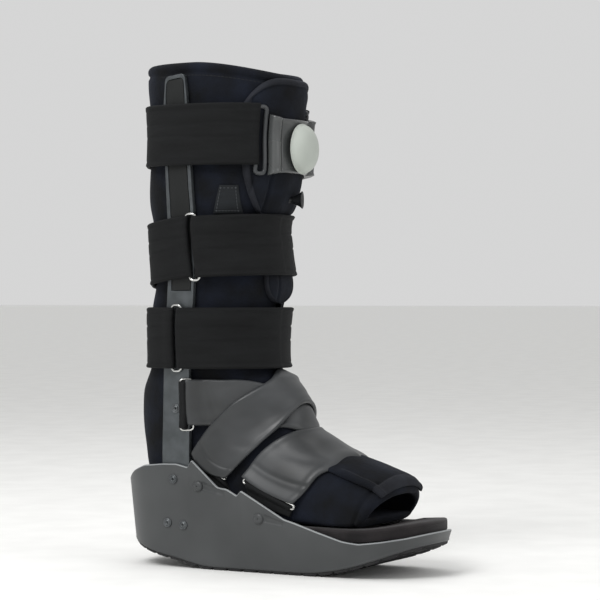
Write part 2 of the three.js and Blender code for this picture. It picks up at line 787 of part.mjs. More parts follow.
function makeOutsole() {
  const inside = () => SHELL_DRAFT + SHELL_WALL + FIT_GAP;
  return soleLoft([
    { inset: inside, height: (y) => floorTopAt(y) - SHELL_FLOOR - FIT_GAP },
    { inset: inside, height: (y) => wallFootAt(y) - FIT_GAP },
    { inset: () => SHELL_DRAFT + TREAD_INSET, height: (y) => wallFootAt(y) - FIT_GAP },
    { inset: () => SHELL_DRAFT + TREAD_INSET + TREAD_EDGE, height: treadAt },
  ]);
}

// The footbed leaves room for the uprights at the heel and fills the shell at the toe.
// y: share of the sole's length; room: share of an upright's thickness
const footbedRoom = [
  { y: 0.0, room: 1 },
  { y: 0.34, room: 1 },
  { y: 0.48, room: 0 },
  { y: 1.0, room: 0 },
];
const FOOTBED_EDGE = 2.5;

function makeFootbed() {
  const room = (y) => interpolate(footbedRoom, "y", soleShare(y), "room");
  const side = (y) => SHELL_WALL + FIT_GAP + room(y) * (UPRIGHT_THICKNESS + FIT_GAP);
  const level = (extra, height) => ({
    inset: (y) => draftAt(y, floorTopAt(y)) + side(y) + extra,
    height,
  });
  return soleLoft([
    level(0, (y) => floorTopAt(y) + FIT_GAP),
    level(0, (y) => footbedTopAt(y) - FOOTBED_EDGE),
    level(FOOTBED_EDGE, footbedTopAt),
  ]);
}

// Uprights: flat bars from inside the shell to under the collar. axis: where the bar's
// middle lies at a height, as a share of the leg's depth behind the leg axis
const uprightTable = [
  { height: 1.0, axis: 0.12 },
  { height: 0.92, axis: 0.12 },
  { height: 0.78, axis: 0.1 },
  { height: 0.7, axis: 0.08 },
  { height: 0.54, axis: 0.08 },
  { height: 0.4, axis: 0.135 },
  { height: 0.2, axis: 0.165 },
  { height: 0.0, axis: 0.165 },
].map((row) => ({
  z: mix(UPRIGHT_FOOT, UPRIGHT_TOP, row.height),
  y: LEG_AXIS + row.axis * LEG_DEPTH,
}));

const UPRIGHT_ROWS = 13;
const UPRIGHT_NOSE = 3;
const UPRIGHT_TOP_SLANT = 3;

// Inner face of an upright: against the shell's wall low down, off the liner above it
function uprightInner(y, z) {
  const draft = Math.max(0, draftAt(y, z));
  const inShell = HEEL_HALF - draft - SHELL_WALL - FIT_GAP - UPRIGHT_THICKNESS;
  return z < SHELL_HEIGHT ? inShell : Math.max(inShell, linerSide(y, z) + UPRIGHT_STAND_OFF);
}

function uprightPoint(across, z, depth, side) {
  const y = interpolate(uprightTable, "z", z, "y") - across;
  const rear = interpolate(uprightTable, "z", z, "y") + UPRIGHT_WIDTH / 2;
  const front = interpolate(uprightTable, "z", z, "y") - UPRIGHT_WIDTH / 2;
  const t = (across + UPRIGHT_WIDTH / 2) / UPRIGHT_WIDTH;
  const inner = mix(uprightInner(rear, z), uprightInner(front, z), t);
  return [side * (inner + depth), y, z];
}

function uprightBody(side, fromZ, toZ, halfWidth, inner, outer, nose) {
  return plate(3, UPRIGHT_ROWS, (u, v, face) => {
    const narrow = v === 1 ? nose : 0;
    const across = mix(-halfWidth + narrow, halfWidth - narrow, u);
    const slant = v === 1 ? UPRIGHT_TOP_SLANT * (across / UPRIGHT_WIDTH) : 0;
    const z = mix(fromZ, toZ, v) + slant;
    return uprightPoint(across, z, face ? outer : inner, side);
  });
}

function makeUpright(side) {
  const half = UPRIGHT_WIDTH / 2;
  const depth = UPRIGHT_THICKNESS;
  const bar = toManifold(uprightBody(side, UPRIGHT_FOOT, UPRIGHT_TOP, half, 0, depth, UPRIGHT_NOSE));
  const pocketTop = UPRIGHT_TOP - INSERT_MARGIN;
  const pocketHalf = half - INSERT_MARGIN;
  const cut = uprightBody(
    side,
    INSERT_BOTTOM,
    pocketTop,
    pocketHalf,
    depth - INSERT_DEPTH,
    depth + UPRIGHT_THICKNESS,
    1,
  );
  return fromManifold(bar.subtract(toManifold(cut)));
}

function makeInsert(side) {
  const half = UPRIGHT_WIDTH / 2 - INSERT_MARGIN - FIT_GAP;
  const depth = UPRIGHT_THICKNESS;
  return uprightBody(
    side,
    INSERT_BOTTOM + FIT_GAP,
    UPRIGHT_TOP - INSERT_MARGIN - FIT_GAP,
    half,
    depth - INSERT_DEPTH + FIT_GAP,
    depth - INSERT_SUNK,
    1,
  );
}

// Straps round the leg, between two turns, over liner, flap and uprights
const degrees = (value) => (value / FULL_DEGREES) * FULL_TURN;

// swing: how far the strap stands above its level at the front, or below it at the back
function makeStrap(fromTurn, toTurn, level, swing) {
  const columns = Math.ceil((Math.abs(toTurn - fromTurn) / FULL_DEGREES) * AROUND) + 1;
  return plate(columns, 3, (u, v, face) => {
    const turn = degrees(mix(fromTurn, toTurn, u));
    const z = level + swing * Math.cos(turn) + (v - 0.5) * STRAP_WIDTH;
    return wrapPoint(turn, z, face ? STRAP_THICKNESS : 0);
  });
}

// Turns at which the rings of the leg straps lie, in degrees from the front
const RING_TOP_TURN = 37;
const RING_MIDDLE_TURN = 84;
const RING_LOWER_TURN = 95;
const STRAP_JOIN_TURN = 270;

// How many degrees a distance along the wrap takes up near a turn
function turnFor(distance, turn, z) {
  const step = 1;
  const a = wrapPoint(degrees(turn), z, 0);
  const b = wrapPoint(degrees(turn + step), z, 0);
  return (distance / Math.hypot(a[0] - b[0], a[1] - b[1])) * step;
}

const RING_WIDTH = RING_SLOT + 2 * RING_WIRE;
const RING_HEIGHT = STRAP_WIDTH + 2 * RING_OVERHANG;
const TOP_RING_DROP = 5;

function makeLegRing(turn, z) {
  return frame(RING_WIDTH, RING_HEIGHT, RING_WIRE, (u, v, face) => {
    const at = degrees(turn + Math.sign(turn) * turnFor(u, turn, z));
    return wrapPoint(at, z + v, face * RING_WIRE - CURVE_ROOM);
  });
}

function strapEndTurn(turn, z, direction) {
  return turn + direction * turnFor(RING_WIDTH / 2 + RING_GAP, turn, z);
}

// Shin plate: rigid shield over the flap between the two top rings, with the pump on it
function makeShinPlate() {
  const z = STRAP_TOP_HEIGHT - SHIN_PLATE_DROP;
  const end = strapEndTurn(RING_TOP_TURN, STRAP_TOP_HEIGHT, -1);
  return plate(11, 4, (u, v, face) => {
    const turn = degrees(mix(-end, end, u));
    const flare = 1 + 0.12 * (2 * u - 1) ** 4;
    const height = z + (v - 0.5) * SHIN_PLATE_HEIGHT * flare;
    return wrapPoint(turn, height, face ? SHIN_PLATE_THICKNESS : 0);
  });
}

const PUMP_SIDES = 16;
const PUMP_RINGS = 5;

// Dome whose flat back lies on the shin plate's ridge and whose crown looks forward
function makePump() {
  const plateFront = (z) => wrapPoint(0, z, SHIN_PLATE_THICKNESS)[1];
  const reachUp = PUMP_HEIGHT + PUMP_RADIUS;
  const base = Math.min(plateFront(PUMP_HEIGHT), plateFront(reachUp)) - FIT_GAP - CURVE_ROOM;
  const rings = [];
  for (let i = 0; i < PUMP_RINGS; i += 1) {
    const rise = (i / PUMP_RINGS) * (HALF_TURN / 2);
    rings.push([PUMP_RADIUS * Math.cos(rise), PUMP_DEPTH * Math.sin(rise)]);
  }
  rings.push([PUMP_RADIUS * 0.12, PUMP_DEPTH]);
  return loft(
    rings.map(([radius, reach]) =>
      Array.from({ length: PUMP_SIDES }, (unused, k) => {
        const turn = (k / PUMP_SIDES) * FULL_TURN;
        const x = PUMP_SHIFT + radius * Math.cos(turn);
        return [x, base - reach, PUMP_HEIGHT + radius * Math.sin(turn)];
      }),
    ),
  );
}

const VALVE_SIDES = 12;

// Valve: a stem that flares into a round knob, standing out of the flap's front
function makeValve() {
  const skin = sectionPoint(legRowAt(VALVE_HEIGHT), 0, LAYER_GAP + FLAP_THICKNESS);
  const start = skin[1] - FIT_GAP;
  const profile = [
    [VALVE_STEM_RADIUS, 0],
    [VALVE_STEM_RADIUS, VALVE_LENGTH * 0.25],
    [VALVE_RADIUS * 0.92, VALVE_LENGTH * 0.92],
    [VALVE_RADIUS, VALVE_LENGTH * 0.95],
    [VALVE_RADIUS * 0.94, VALVE_LENGTH],
  ];
  return loft(
    profile.map(([radius, reach]) =>
      Array.from({ length: VALVE_SIDES }, (unused, k) => {
        const turn = (k / VALVE_SIDES) * FULL_TURN;
        const x = VALVE_SHIFT + radius * Math.cos(turn);
        return [x, start - reach, VALVE_HEIGHT + radius * Math.sin(turn)];
      }),
    ),
  );
}

// Domed heads on a side face: place gives the face's x at a [y, z]
function makeHead(side, y, z, faceX, radius, height, sides) {
  const levels = [
    [1, 0],
    [1, 0.45],
    [0.6, 1],
  ];
  return loft(
    levels.map(([wide, out]) =>
      Array.from({ length: sides }, (unused, k) => {
        const turn = (k / sides) * FULL_TURN;
        const [dy, dz] = [radius * wide * Math.cos(turn), radius * wide * Math.sin(turn)];
        const skin = out === 0 ? faceX(y + dy, z + dz) : faceX(y, z) + out * height;
        return [side * (skin + FIT_GAP), y + dy, z + dz];
      }),
    ),
  );
}

// Outer half width of the shell at a place on its side
function shellSide(y, z) {
  const plan = halfPlan(() => 0);
  let half = 0;
  for (let i = 0; i < plan.length - 1; i += 1) {
    const [a, b] = [plan[i], plan[i + 1]];
    if ((y - a[1]) * (y - b[1]) <= 0 && a[1] !== b[1]) {
      half = mix(a[0], b[0], (y - a[1]) / (b[1] - a[1]));
    }
  }
  return half - draftAt(y, z);
}

// Places of the fixings on the shell. y: share of the sole's length; z: of its height
const shellFixings = [
  { name: "screw_shell_top", y: 0.226, z: 0.79, kind: "screw" },
  { name: "screw_shell_rear", y: 0.202, z: 0.4, kind: "screw" },
  { name: "screw_shell_mid", y: 0.255, z: 0.385, kind: "screw" },
  { name: "stud_instep", y: 0.309, z: 0.735, kind: "stud" },
  { name: "stud_toe", y: 0.512, z: 0.478, kind: "stud" },
];

const UPRIGHT_SCREW_HEIGHT = 136;

// Loops of webbing from inside the shell up to the rings of the foot bands.
// Corners run rear top, front top, front bottom, rear bottom, as outline shares
const instepLoop = [
  { y: 0.612, down: 0.545 },
  { y: 0.455, down: 0.722 },
  { y: 0.4, down: 0.86 },
  { y: 0.57, down: 0.72 },
];
const toeLoop = [
  { y: 0.352, down: 0.712 },
  { y: 0.112, down: 0.872 },
  { y: 0.13, down: 0.945 },
  { y: 0.34, down: 0.86 },
];
const LOOP_INNER = LAYER_GAP;
const INSTEP_INNER = LAYER_GAP + BAND_THICKNESS + FIT_GAP;

function makeSideLoop(corners, side) {
  const outer = LOOP_INNER + LOOP_THICKNESS;
  return sidePlate(fromFoot(corners), LOOP_INNER, outer, side, 5, 3);
}

// Ring between a loop's top edge and a band's end: a frame along that edge
function makeSideRing(from, to, rise, side) {
  const [a, b] = fromFoot([from, to]);
  const [dy, dz] = [b[0] - a[0], b[1] - a[1]];
  const length = Math.hypot(dy, dz);
  const middle = [(a[0] + b[0]) / 2, (a[1] + b[1]) / 2];
  const [uy, uz] = [dy / length, dz / length];
  const inner = LOOP_INNER + LOOP_THICKNESS + FIT_GAP;
  return frame(length, rise, RING_WIRE, (u, v, face) => {
    const y = middle[0] + uy * u - uz * v;
    const z = middle[1] + uz * u + uy * v;
    return [side * (linerSide(y, z) + inner + face * RING_WIRE), y, z];
  });
}

// Ankle loop: webbing on the upright's face, from which the ankle band's ring hangs
const ANKLE_LOOP_TOP = 160;
const ANKLE_LOOP_BOTTOM = 119;
const ANKLE_LOOP_WIDTH = 9;
const ANKLE_RING_SHIFT = 3;

function makeAnkleLoop(side) {
  const half = UPRIGHT_WIDTH / 2;
  return plate(2, 4, (u, v, face) => {
    const across = mix(half - ANKLE_LOOP_WIDTH, half - 0.5, u);
    const z = mix(ANKLE_LOOP_BOTTOM, ANKLE_LOOP_TOP, v);
    const depth = UPRIGHT_THICKNESS + FIT_GAP + face * LOOP_THICKNESS;
    return uprightPoint(across, z, depth, side);
  });
}

function makeAnkleRing(side) {
  const width = ANKLE_LOOP_WIDTH + RING_WIRE;
  const height = ANKLE_LOOP_TOP - ANKLE_LOOP_BOTTOM + 2 * RING_WIRE;
  const middle = (ANKLE_LOOP_TOP + ANKLE_LOOP_BOTTOM) / 2;
  const half = UPRIGHT_WIDTH / 2;
  return frame(width, height, RING_WIRE, (u, v, face) => {
    const across = half - ANKLE_LOOP_WIDTH / 2 + ANKLE_RING_SHIFT + u;
    const inner = UPRIGHT_THICKNESS + LOOP_THICKNESS + 2 * FIT_GAP;
    return uprightPoint(across, middle + v, inner + face * RING_WIRE, side);
  });
}

// Colours and finishes
const finish = (color, roughness, metalness = 0) =>
  new THREE.MeshStandardMaterial({ color, roughness, metalness });

const shellPlastic = finish(0x58595b, 0.5);
const treadRubber = finish(0x2b2b2c, 0.85);
const footbedFoam = finish(0x2c2829, 0.95);
const linerCloth = finish(0x1f2128, 0.95);
const flapCloth = finish(0x22252e, 0.95);
const uprightMetal = finish(0x70757a, 0.45, 0.4);
const insertPlastic = finish(0x2c3030, 0.6);
const strapWebbing = finish(0x252627, 0.85);
const bandVinyl = finish(0x66686b, 0.5);
const ringWire = finish(0xb9bcbe, 0.25, 1);
const ringPlastic = finish(0x4a4c4e, 0.45);
const pumpRubber = finish(0xb4b8b3, 0.55);
const valvePlastic = finish(0x141516, 0.45);
const screwMetal = finish(0x626567, 0.35, 0.7);

const boot = new THREE.Group();

function add(name, geometry, material) {
  const mesh = new THREE.Mesh(geometry, material);
  mesh.name = name;
  boot.add(mesh);
}

add("shell", makeShell(), shellPlastic);
add("outsole", makeOutsole(), treadRubber);
add("footbed", makeFootbed(), footbedFoam);
add("liner", makeLiner(), linerCloth);
add("front_flap", makeFrontFlap(), flapCloth);
add("toe_flap", makeToeFlap(), flapCloth);
add("liner_tab", makeTab(), strapWebbing);

add("ankle_band", makeFootBand(ankleBandOutline, LAYER_GAP), bandVinyl);
add("instep_band", makeFootBand(instepBandOutline, INSTEP_INNER), bandVinyl);
add("toe_band", makeFootBand(toeBandOutline, LAYER_GAP + FIT_GAP), bandVinyl);

const topEnd = strapEndTurn(RING_TOP_TURN, STRAP_TOP_HEIGHT, 1);
add("strap_top", makeStrap(topEnd, FULL_DEGREES - topEnd, STRAP_TOP_HEIGHT, 0), strapWebbing);
add("shin_plate", makeShinPlate(), ringPlastic);
add("pump_bulb", makePump(), pumpRubber);
add("valve_knob", makeValve(), valvePlastic);

// The middle and lower straps are each a rear part, a ring on the -X side and a front part
const ringedStraps = [
  {
    name: "middle",
    level: STRAP_MIDDLE_HEIGHT,
    fall: STRAP_REAR_FALL,
    rise: STRAP_FRONT_RISE,
    ring: RING_MIDDLE_TURN,
  },
  { name: "lower", level: STRAP_LOWER_HEIGHT, fall: 0, rise: 0, ring: RING_LOWER_TURN },
];

for (const { name, level, fall, rise, ring } of ringedStraps) {
  const rear = strapEndTurn(ring, level, 1);
  const front = strapEndTurn(ring, level, -1);
  const join = turnFor(FIT_GAP, STRAP_JOIN_TURN, level);
  add(`strap_${name}_rear`, makeStrap(rear, STRAP_JOIN_TURN, level, fall), strapWebbing);
  add(
    `strap_${name}_front`,
    makeStrap(STRAP_JOIN_TURN - FULL_DEGREES + join, front, level, rise),
    strapWebbing,
  );
  add(`ring_${name}`, makeLegRing(ring, level), ringWire);
}

const topRing = (side) => makeLegRing(-side * RING_TOP_TURN, STRAP_TOP_HEIGHT - TOP_RING_DROP);

for (const [side, word] of [[-1, "right"], [1, "left"]]) {
  add(`upright_${word}`, makeUpright(side), uprightMetal);
  add(`upright_insert_${word}`, makeInsert(side), insertPlastic);
  add(`ring_top_${word}`, topRing(side), ringPlastic);
  add(`loop_ankle_${word}`, makeAnkleLoop(side), strapWebbing);
  add(`ring_ankle_${word}`, makeAnkleRing(side), ringWire);
  add(`loop_instep_${word}`, makeSideLoop(instepLoop, side), strapWebbing);
  add(`loop_toe_${word}`, makeSideLoop(toeLoop, side), strapWebbing);
  const instepRing = makeSideRing({ y: 0.607, down: 0.545 }, { y: 0.44, down: 0.715 }, SIDE_RING_RISE, side);
  add(`ring_instep_${word}`, instepRing, ringWire);
  const toeRing = makeSideRing({ y: 0.362, down: 0.715 }, { y: 0.1, down: 0.885 }, SIDE_RING_RISE, side);
  add(`ring_toe_${word}`, toeRing, ringWire);
  const uprightFace = (y, z) => Math.abs(uprightPoint(0, z, UPRIGHT_THICKNESS, side)[0]);
  const screwY = interpolate(uprightTable, "z", UPRIGHT_SCREW_HEIGHT, "y");
  const screw = makeHead(
    side,
    screwY,
    UPRIGHT_SCREW_HEIGHT,
    uprightFace,
    SCREW_RADIUS,
    SCREW_HEIGHT,
    HEAD_SIDES,
  );
  add(`screw_upright_${word}`, screw, screwMetal);
  for (const { name, y, z, kind } of shellFixings) {
    const place = [HEEL_REAR - y * SOLE_LENGTH, z * SHELL_HEIGHT];
    const round = kind === "screw";
    const radius = round ? SCREW_RADIUS : STUD_RADIUS;
    const height = round ? SCREW_HEIGHT : STUD_HEIGHT;
    const head = makeHead(side, ...place, shellSide, radius, height, HEAD_SIDES);
    add(`${name}_${word}`, head, round ? screwMetal : shellPlastic);
  }
}

export default boot;
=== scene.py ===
"""Tall medical walking boot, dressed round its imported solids. Metres, +Z up, toe towards -Y."""

import math

import bmesh
import bpy
import numpy as np
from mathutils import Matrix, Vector


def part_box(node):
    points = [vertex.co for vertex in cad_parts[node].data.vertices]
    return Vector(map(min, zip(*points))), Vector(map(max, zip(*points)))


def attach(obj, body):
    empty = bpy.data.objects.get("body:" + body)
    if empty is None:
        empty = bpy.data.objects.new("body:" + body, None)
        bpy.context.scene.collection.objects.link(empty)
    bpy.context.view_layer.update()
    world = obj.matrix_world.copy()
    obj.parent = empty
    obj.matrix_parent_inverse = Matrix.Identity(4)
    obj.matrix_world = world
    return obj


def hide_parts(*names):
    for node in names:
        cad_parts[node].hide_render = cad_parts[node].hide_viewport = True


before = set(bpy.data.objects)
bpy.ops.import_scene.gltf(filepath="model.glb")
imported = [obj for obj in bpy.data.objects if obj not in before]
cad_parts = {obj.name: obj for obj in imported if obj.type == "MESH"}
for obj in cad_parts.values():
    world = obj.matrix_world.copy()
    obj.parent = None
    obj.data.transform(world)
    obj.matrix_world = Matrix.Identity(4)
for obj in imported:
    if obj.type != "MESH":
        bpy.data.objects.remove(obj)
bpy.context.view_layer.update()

# Sizes in millimetres, the same as in the solids
MM = 0.001
COLLAR_HEIGHT = 430
SOLE_LENGTH = 295
SOLE_WIDTH = 118
HEEL_WIDTH = 108
HEEL_REAR = 124
LEG_DEPTH = 120
LEG_WIDTH = 112
LEG_AXIS = 37
TURN_HEIGHT = 168
TURN_FRONT = -80
TOE_REACH = 58
LINER_WALL = 7
TREAD_DEPTH = 5
TREAD_INSET = 1.2
SHELL_WALL = 3
SHELL_FLOOR = 4
SHELL_DRAFT = 5
SHELL_HEIGHT = 96
FOOTBED_TOP = 40.5
FOOTBED_THICKNESS = 10
TOE_SPRING = 6.5
FIT_GAP = 0.5
LAYER_GAP = 0.6
CURVE_ROOM = 0.4
RING_GAP = 1.8
UPRIGHT_WIDTH = 26.5
UPRIGHT_THICKNESS = 5
UPRIGHT_FOOT = 33
UPRIGHT_DROP = 11
UPRIGHT_STAND_OFF = 1.5
STRAP_WIDTH = 52
STRAP_THICKNESS = 3.6
BAND_THICKNESS = 3
FLAP_THICKNESS = 4
TOE_FLAP_THICKNESS = 3
RING_WIRE = 2.4
RING_SLOT = 6
RING_OVERHANG = 3.2
LOOP_THICKNESS = 2.2

LEG_RISE = COLLAR_HEIGHT - TURN_HEIGHT
LEG_HALF = LEG_WIDTH / 2
HEEL_HALF = HEEL_WIDTH / 2
SOLE_HALF = SOLE_WIDTH / 2
LINER_BOTTOM = FOOTBED_TOP + FIT_GAP
FOOT_RISE = TURN_HEIGHT - LINER_BOTTOM
HEEL_REACH = HEEL_REAR - SHELL_WALL - TURN_FRONT
ANKLE_HALF = HEEL_HALF - SHELL_WALL - FIT_GAP - UPRIGHT_THICKNESS - UPRIGHT_STAND_OFF
FORE_HALF = SOLE_HALF - SHELL_WALL - FIT_GAP
SIDE_STAND = UPRIGHT_STAND_OFF + UPRIGHT_THICKNESS + FIT_GAP + CURVE_ROOM
FRONT_STAND = LAYER_GAP + FLAP_THICKNESS + FIT_GAP + CURVE_ROOM


def leg_height(up):
    return TURN_HEIGHT + up * LEG_RISE


STRAP_TOP = leg_height(0.7634)
STRAP_MIDDLE = leg_height(0.4008)
STRAP_LOWER = leg_height(0.1069)
RING_TOP_TURN = 37
RING_MIDDLE_TURN = 84
RING_LOWER_TURN = 95
STRAP_JOIN_TURN = 270


def mix(a, b, t):
    return a + (b - a) * t


def step(low, high, value):
    """Smooth rise from 0 at low to 1 at high"""
    t = np.clip((value - low) / (high - low), 0, 1)
    return t * t * (3 - 2 * t)


def bump(value, middle, width):
    """Round bump of height 1 round a middle"""
    return np.exp(-(((value - middle) / width) ** 2))


def ridges(value, table):
    """Sum of round bumps, each a height, a middle and a width"""
    return sum(height * bump(value, middle, wide) for height, middle, wide in table)


# Liner sections, as in the solids
# up the leg's rise, front, back: shares of its depth from the axis, half: of its half width
LEG_TABLE = (
    (1.0, 0.565, 0.53, 1.005),
    (0.955, 0.56, 0.54, 1.01),
    (0.87, 0.55, 0.535, 1.0),
    (0.76, 0.525, 0.52, 0.98),
    (0.64, 0.52, 0.53, 0.985),
    (0.53, 0.445, 0.525, 0.97),
    (0.49, 0.395, 0.505, 0.955),
    (0.4, 0.4, 0.49, 0.945),
    (0.27, 0.44, 0.485, 0.94),
    (0.2, 0.405, 0.515, 0.93),
    (0.1, 0.385, 0.515, 0.905),
    (0.0, 0.415, 0.545, 0.87),
)
# front y, front down, back y, back down, half width, squareness: shares of the foot's sizes
TURN_TABLE = (
    (0.303, 0.044, 0.945, 0.142, 1.1, 2.3),
    (0.29, 0.076, 0.952, 0.26, 1.07, 2.3),
    (0.273, 0.11, 0.95, 0.394, 1.04, 2.3),
    (0.255, 0.143, 0.935, 0.535, 1.015, 2.4),
    (0.242, 0.172, 0.92, 0.661, 1.0, 2.5),
    (0.226, 0.203, 0.885, 0.803, 0.985, 2.7),
    (0.21, 0.235, 0.83, 0.93, 0.975, 2.9),
    (0.195, 0.262, 0.74, 0.992, 0.97, 3.2),
    (0.183, 0.304, 0.6, 1.0, 0.975, 4),
    (0.155, 0.415, 0.4, 1.0, 1.02, 5),
    (0.085, 0.505, 0.2, 1.0, 1.09, 6),
    (0.0, 0.555, 0.0, 1.0, 1.14, 7),
)
# top y, top down, sole y, sole down, half width: shares of the toe's sizes
TOE_TABLE = (
    (0.3, 0.6, 0.2, 1.0, 0.955),
    (0.57, 0.645, 0.38, 1.0, 0.95),
    (0.8, 0.69, 0.54, 0.995, 0.92),
    (1.0, 0.765, 0.64, 0.985, 0.86),
)
LEG_SQUARE = 2.3
TOP_SQUARE = 2.2
TOE_SQUARE = 7
# Share of a section's depth, from its back, where it is widest
LEG_LOW = 0.5
TOE_LOW = 0.24
FRONT_DIP = 9
DIP_START = 0.7
DIP_POWER = 1.6


def foot_y(share):
    return TURN_FRONT + share * (HEEL_REACH if share > 0 else TOE_REACH)


def foot_z(down):
    return TURN_HEIGHT - down * FOOT_RISE


def liner_rows():
    """Front y and z, back y and z, half width, squareness and lowest wide place of each row"""
    rows = []
    for up, front, back, half in LEG_TABLE:
        z = leg_height(up)
        front_y, back_y = LEG_AXIS - front * LEG_DEPTH, LEG_AXIS + back * LEG_DEPTH
        rows.append((front_y, z, back_y, z, half * LEG_HALF, LEG_SQUARE, LEG_LOW))
    for i, (front_y, front_down, back_y, back_down, half, square) in enumerate(TURN_TABLE):
        low = mix(LEG_LOW, TOE_LOW, i / (len(TURN_TABLE) - 1))
        front, back = (foot_y(front_y), foot_z(front_down)), (foot_y(back_y), foot_z(back_down))
        rows.append((*front, *back, half * ANKLE_HALF, square, low))
    for top_y, top_down, sole_y, sole_down, half in TOE_TABLE:
        front, back = (foot_y(-top_y), foot_z(top_down)), (foot_y(-sole_y), foot_z(sole_down))
        rows.append((*front, *back, half * FORE_HALF, TOE_SQUARE, TOE_LOW))
    return np.array(rows)


def smooth(knots, values, at):
    """Smooth curve through values at their knots, read at the places wanted"""
    knots, values, at = (np.asarray(x, float) for x in (knots, values, at))
    slopes = np.gradient(values, knots, axis=0)
    i = np.clip(np.searchsorted(knots, at, side="right") - 1, 0, len(knots) - 2)
    gap = (knots[i + 1] - knots[i])[..., None]
    t = np.clip((at - knots[i])[..., None] / gap, 0, 1)
    start = (1 + 2 * t) * (1 - t) ** 2 * values[i] + t * (1 - t) ** 2 * gap * slopes[i]
    end = t * t * (3 - 2 * t) * values[i + 1] + t * t * (t - 1) * gap * slopes[i + 1]
    return start + end


ROWS = liner_rows()
LEG_ROWS = len(LEG_TABLE)
_middles = (ROWS[:, 0:2] + ROWS[:, 2:4]) / 2
_steps = np.hypot(*np.diff(_middles, axis=0).T)
_steps[: LEG_ROWS - 1] = -np.diff(ROWS[:LEG_ROWS, 1])
# Length along the boot from the collar to each row: on the leg it is the height lost
LENGTHS = np.concatenate([[0], np.cumsum(_steps)])
LINER_LENGTH = LENGTHS[-1]


def section(values, turn, offset):
    """Point of a liner section: turn 0 at its front, a quarter turn at its -X side"""
    front, back = values[..., 0:2], values[..., 2:4]
    half, low = values[..., 4], values[..., 6]
    along, across = np.cos(turn), np.sin(turn)
    square = np.where(along > 0, TOP_SQUARE, values[..., 5])
    power = 2 / square
    a = np.sign(along) * np.abs(along) ** power
    b = np.sign(across) * np.abs(across) ** power
    d = front - back
    length = np.hypot(d[..., 0], d[..., 1])
    reach = length * np.where(along > 0, 1 - low, low)
    slope_a = np.sign(a) * np.abs(a) ** (square - 1) / reach
    slope_b = np.sign(b) * np.abs(b) ** (square - 1) / half
    slope = np.hypot(slope_a, slope_b)
    forward = a * reach + offset * slope_a / slope + low * length
    aside = b * half + offset * slope_b / slope
    y = back[..., 0] + d[..., 0] / length * forward
    z = back[..., 1] + d[..., 1] / length * forward
    return np.stack([-aside, y, z], axis=-1)


def liner_point(s, turn, offset=0.0):
    """Point over the liner, s along it from the collar, at an offset from its cloth"""
    s, turn, offset = np.broadcast_arrays(s, turn, offset)
    values = smooth(LENGTHS, ROWS, np.clip(s, 0, LINER_LENGTH))
    p = section(values, turn, offset)
    up = (values[..., 1] - TURN_HEIGHT) / LEG_RISE
    share = np.clip((up - DIP_START) / (1 - DIP_START), 0, None)
    forward = np.clip((LEG_AXIS - p[..., 1]) / (LEG_DEPTH / 2), 0, None)
    p[..., 2] -= FRONT_DIP * share * forward**DIP_POWER
    over = np.maximum(s - LINER_LENGTH, 0) + np.minimum(s, 0)
    d = values[..., 0:2] - values[..., 2:4]
    d /= np.hypot(d[..., 0], d[..., 1])[..., None]
    p[..., 1] -= d[..., 1] * over
    p[..., 2] += d[..., 0] * over
    return p


SIDE_EASE = (0.3, 0.75)


def wrap_point(turn, z, depth):
    """Point of the wrap that lies over liner, flap and uprights, at a height"""
    turn, z, depth = np.broadcast_arrays(turn, z, depth)
    values = smooth(LENGTHS, ROWS, COLLAR_HEIGHT - z)
    values[..., 1] = z
    values[..., 3] = z
    values[..., 5] = LEG_SQUARE
    values[..., 6] = LEG_LOW
    ease = step(*SIDE_EASE, np.sin(turn) ** 2)
    ends = np.where(np.cos(turn) > 0, FRONT_STAND, LAYER_GAP)
    stand = np.maximum(mix(ends, SIDE_STAND, ease), ends)
    return section(values, turn, stand + depth)


FINE_STEPS = 1600
FINE = np.linspace(0, LINER_LENGTH, FINE_STEPS)
FINE_ROWS = smooth(LENGTHS, ROWS, FINE)


def on_liner(y, z):
    """Length and turn, on the liner's -X side, of a place seen from the side"""
    back = FINE_ROWS[:, 2:4]
    d = FINE_ROWS[:, 0:2] - back
    length = np.hypot(d[:, 0], d[:, 1])
    side = d[:, 0] * (z - back[:, 1]) - d[:, 1] * (y - back[:, 0])
    along = ((y - back[:, 0]) * d[:, 0] + (z - back[:, 1]) * d[:, 1]) / length
    crossing = np.flatnonzero((side[:-1] * side[1:] <= 0) & (along[:-1] > -2))
    k = crossing[np.argmin(np.abs(along[crossing] / length[crossing] - 0.5))]
    low = FINE_ROWS[k, 6]
    forward = along[k] - low * length[k]
    reach = length[k] * (1 - low if forward > 0 else low)
    square = TOP_SQUARE if forward > 0 else FINE_ROWS[k, 5]
    share = np.clip(forward / reach, -1, 1)
    turn = math.acos(np.sign(share) * abs(share) ** (square / 2))
    return FINE[k], turn


def side_width(y, z):
    """Half width of the liner where a level line across it leaves its side"""
    s, turn = on_liner(y, z)
    return abs(float(liner_point(s, turn)[..., 0]))


# Meshes from grids of points


def in_scene(name, data):
    """New object in the scene, with its data"""
    obj = bpy.data.objects.new(name, data)
    bpy.context.scene.collection.objects.link(obj)
    return obj


def shade_smooth(obj):
    obj.data.polygons.foreach_set("use_smooth", [True] * len(obj.data.polygons))
    return obj


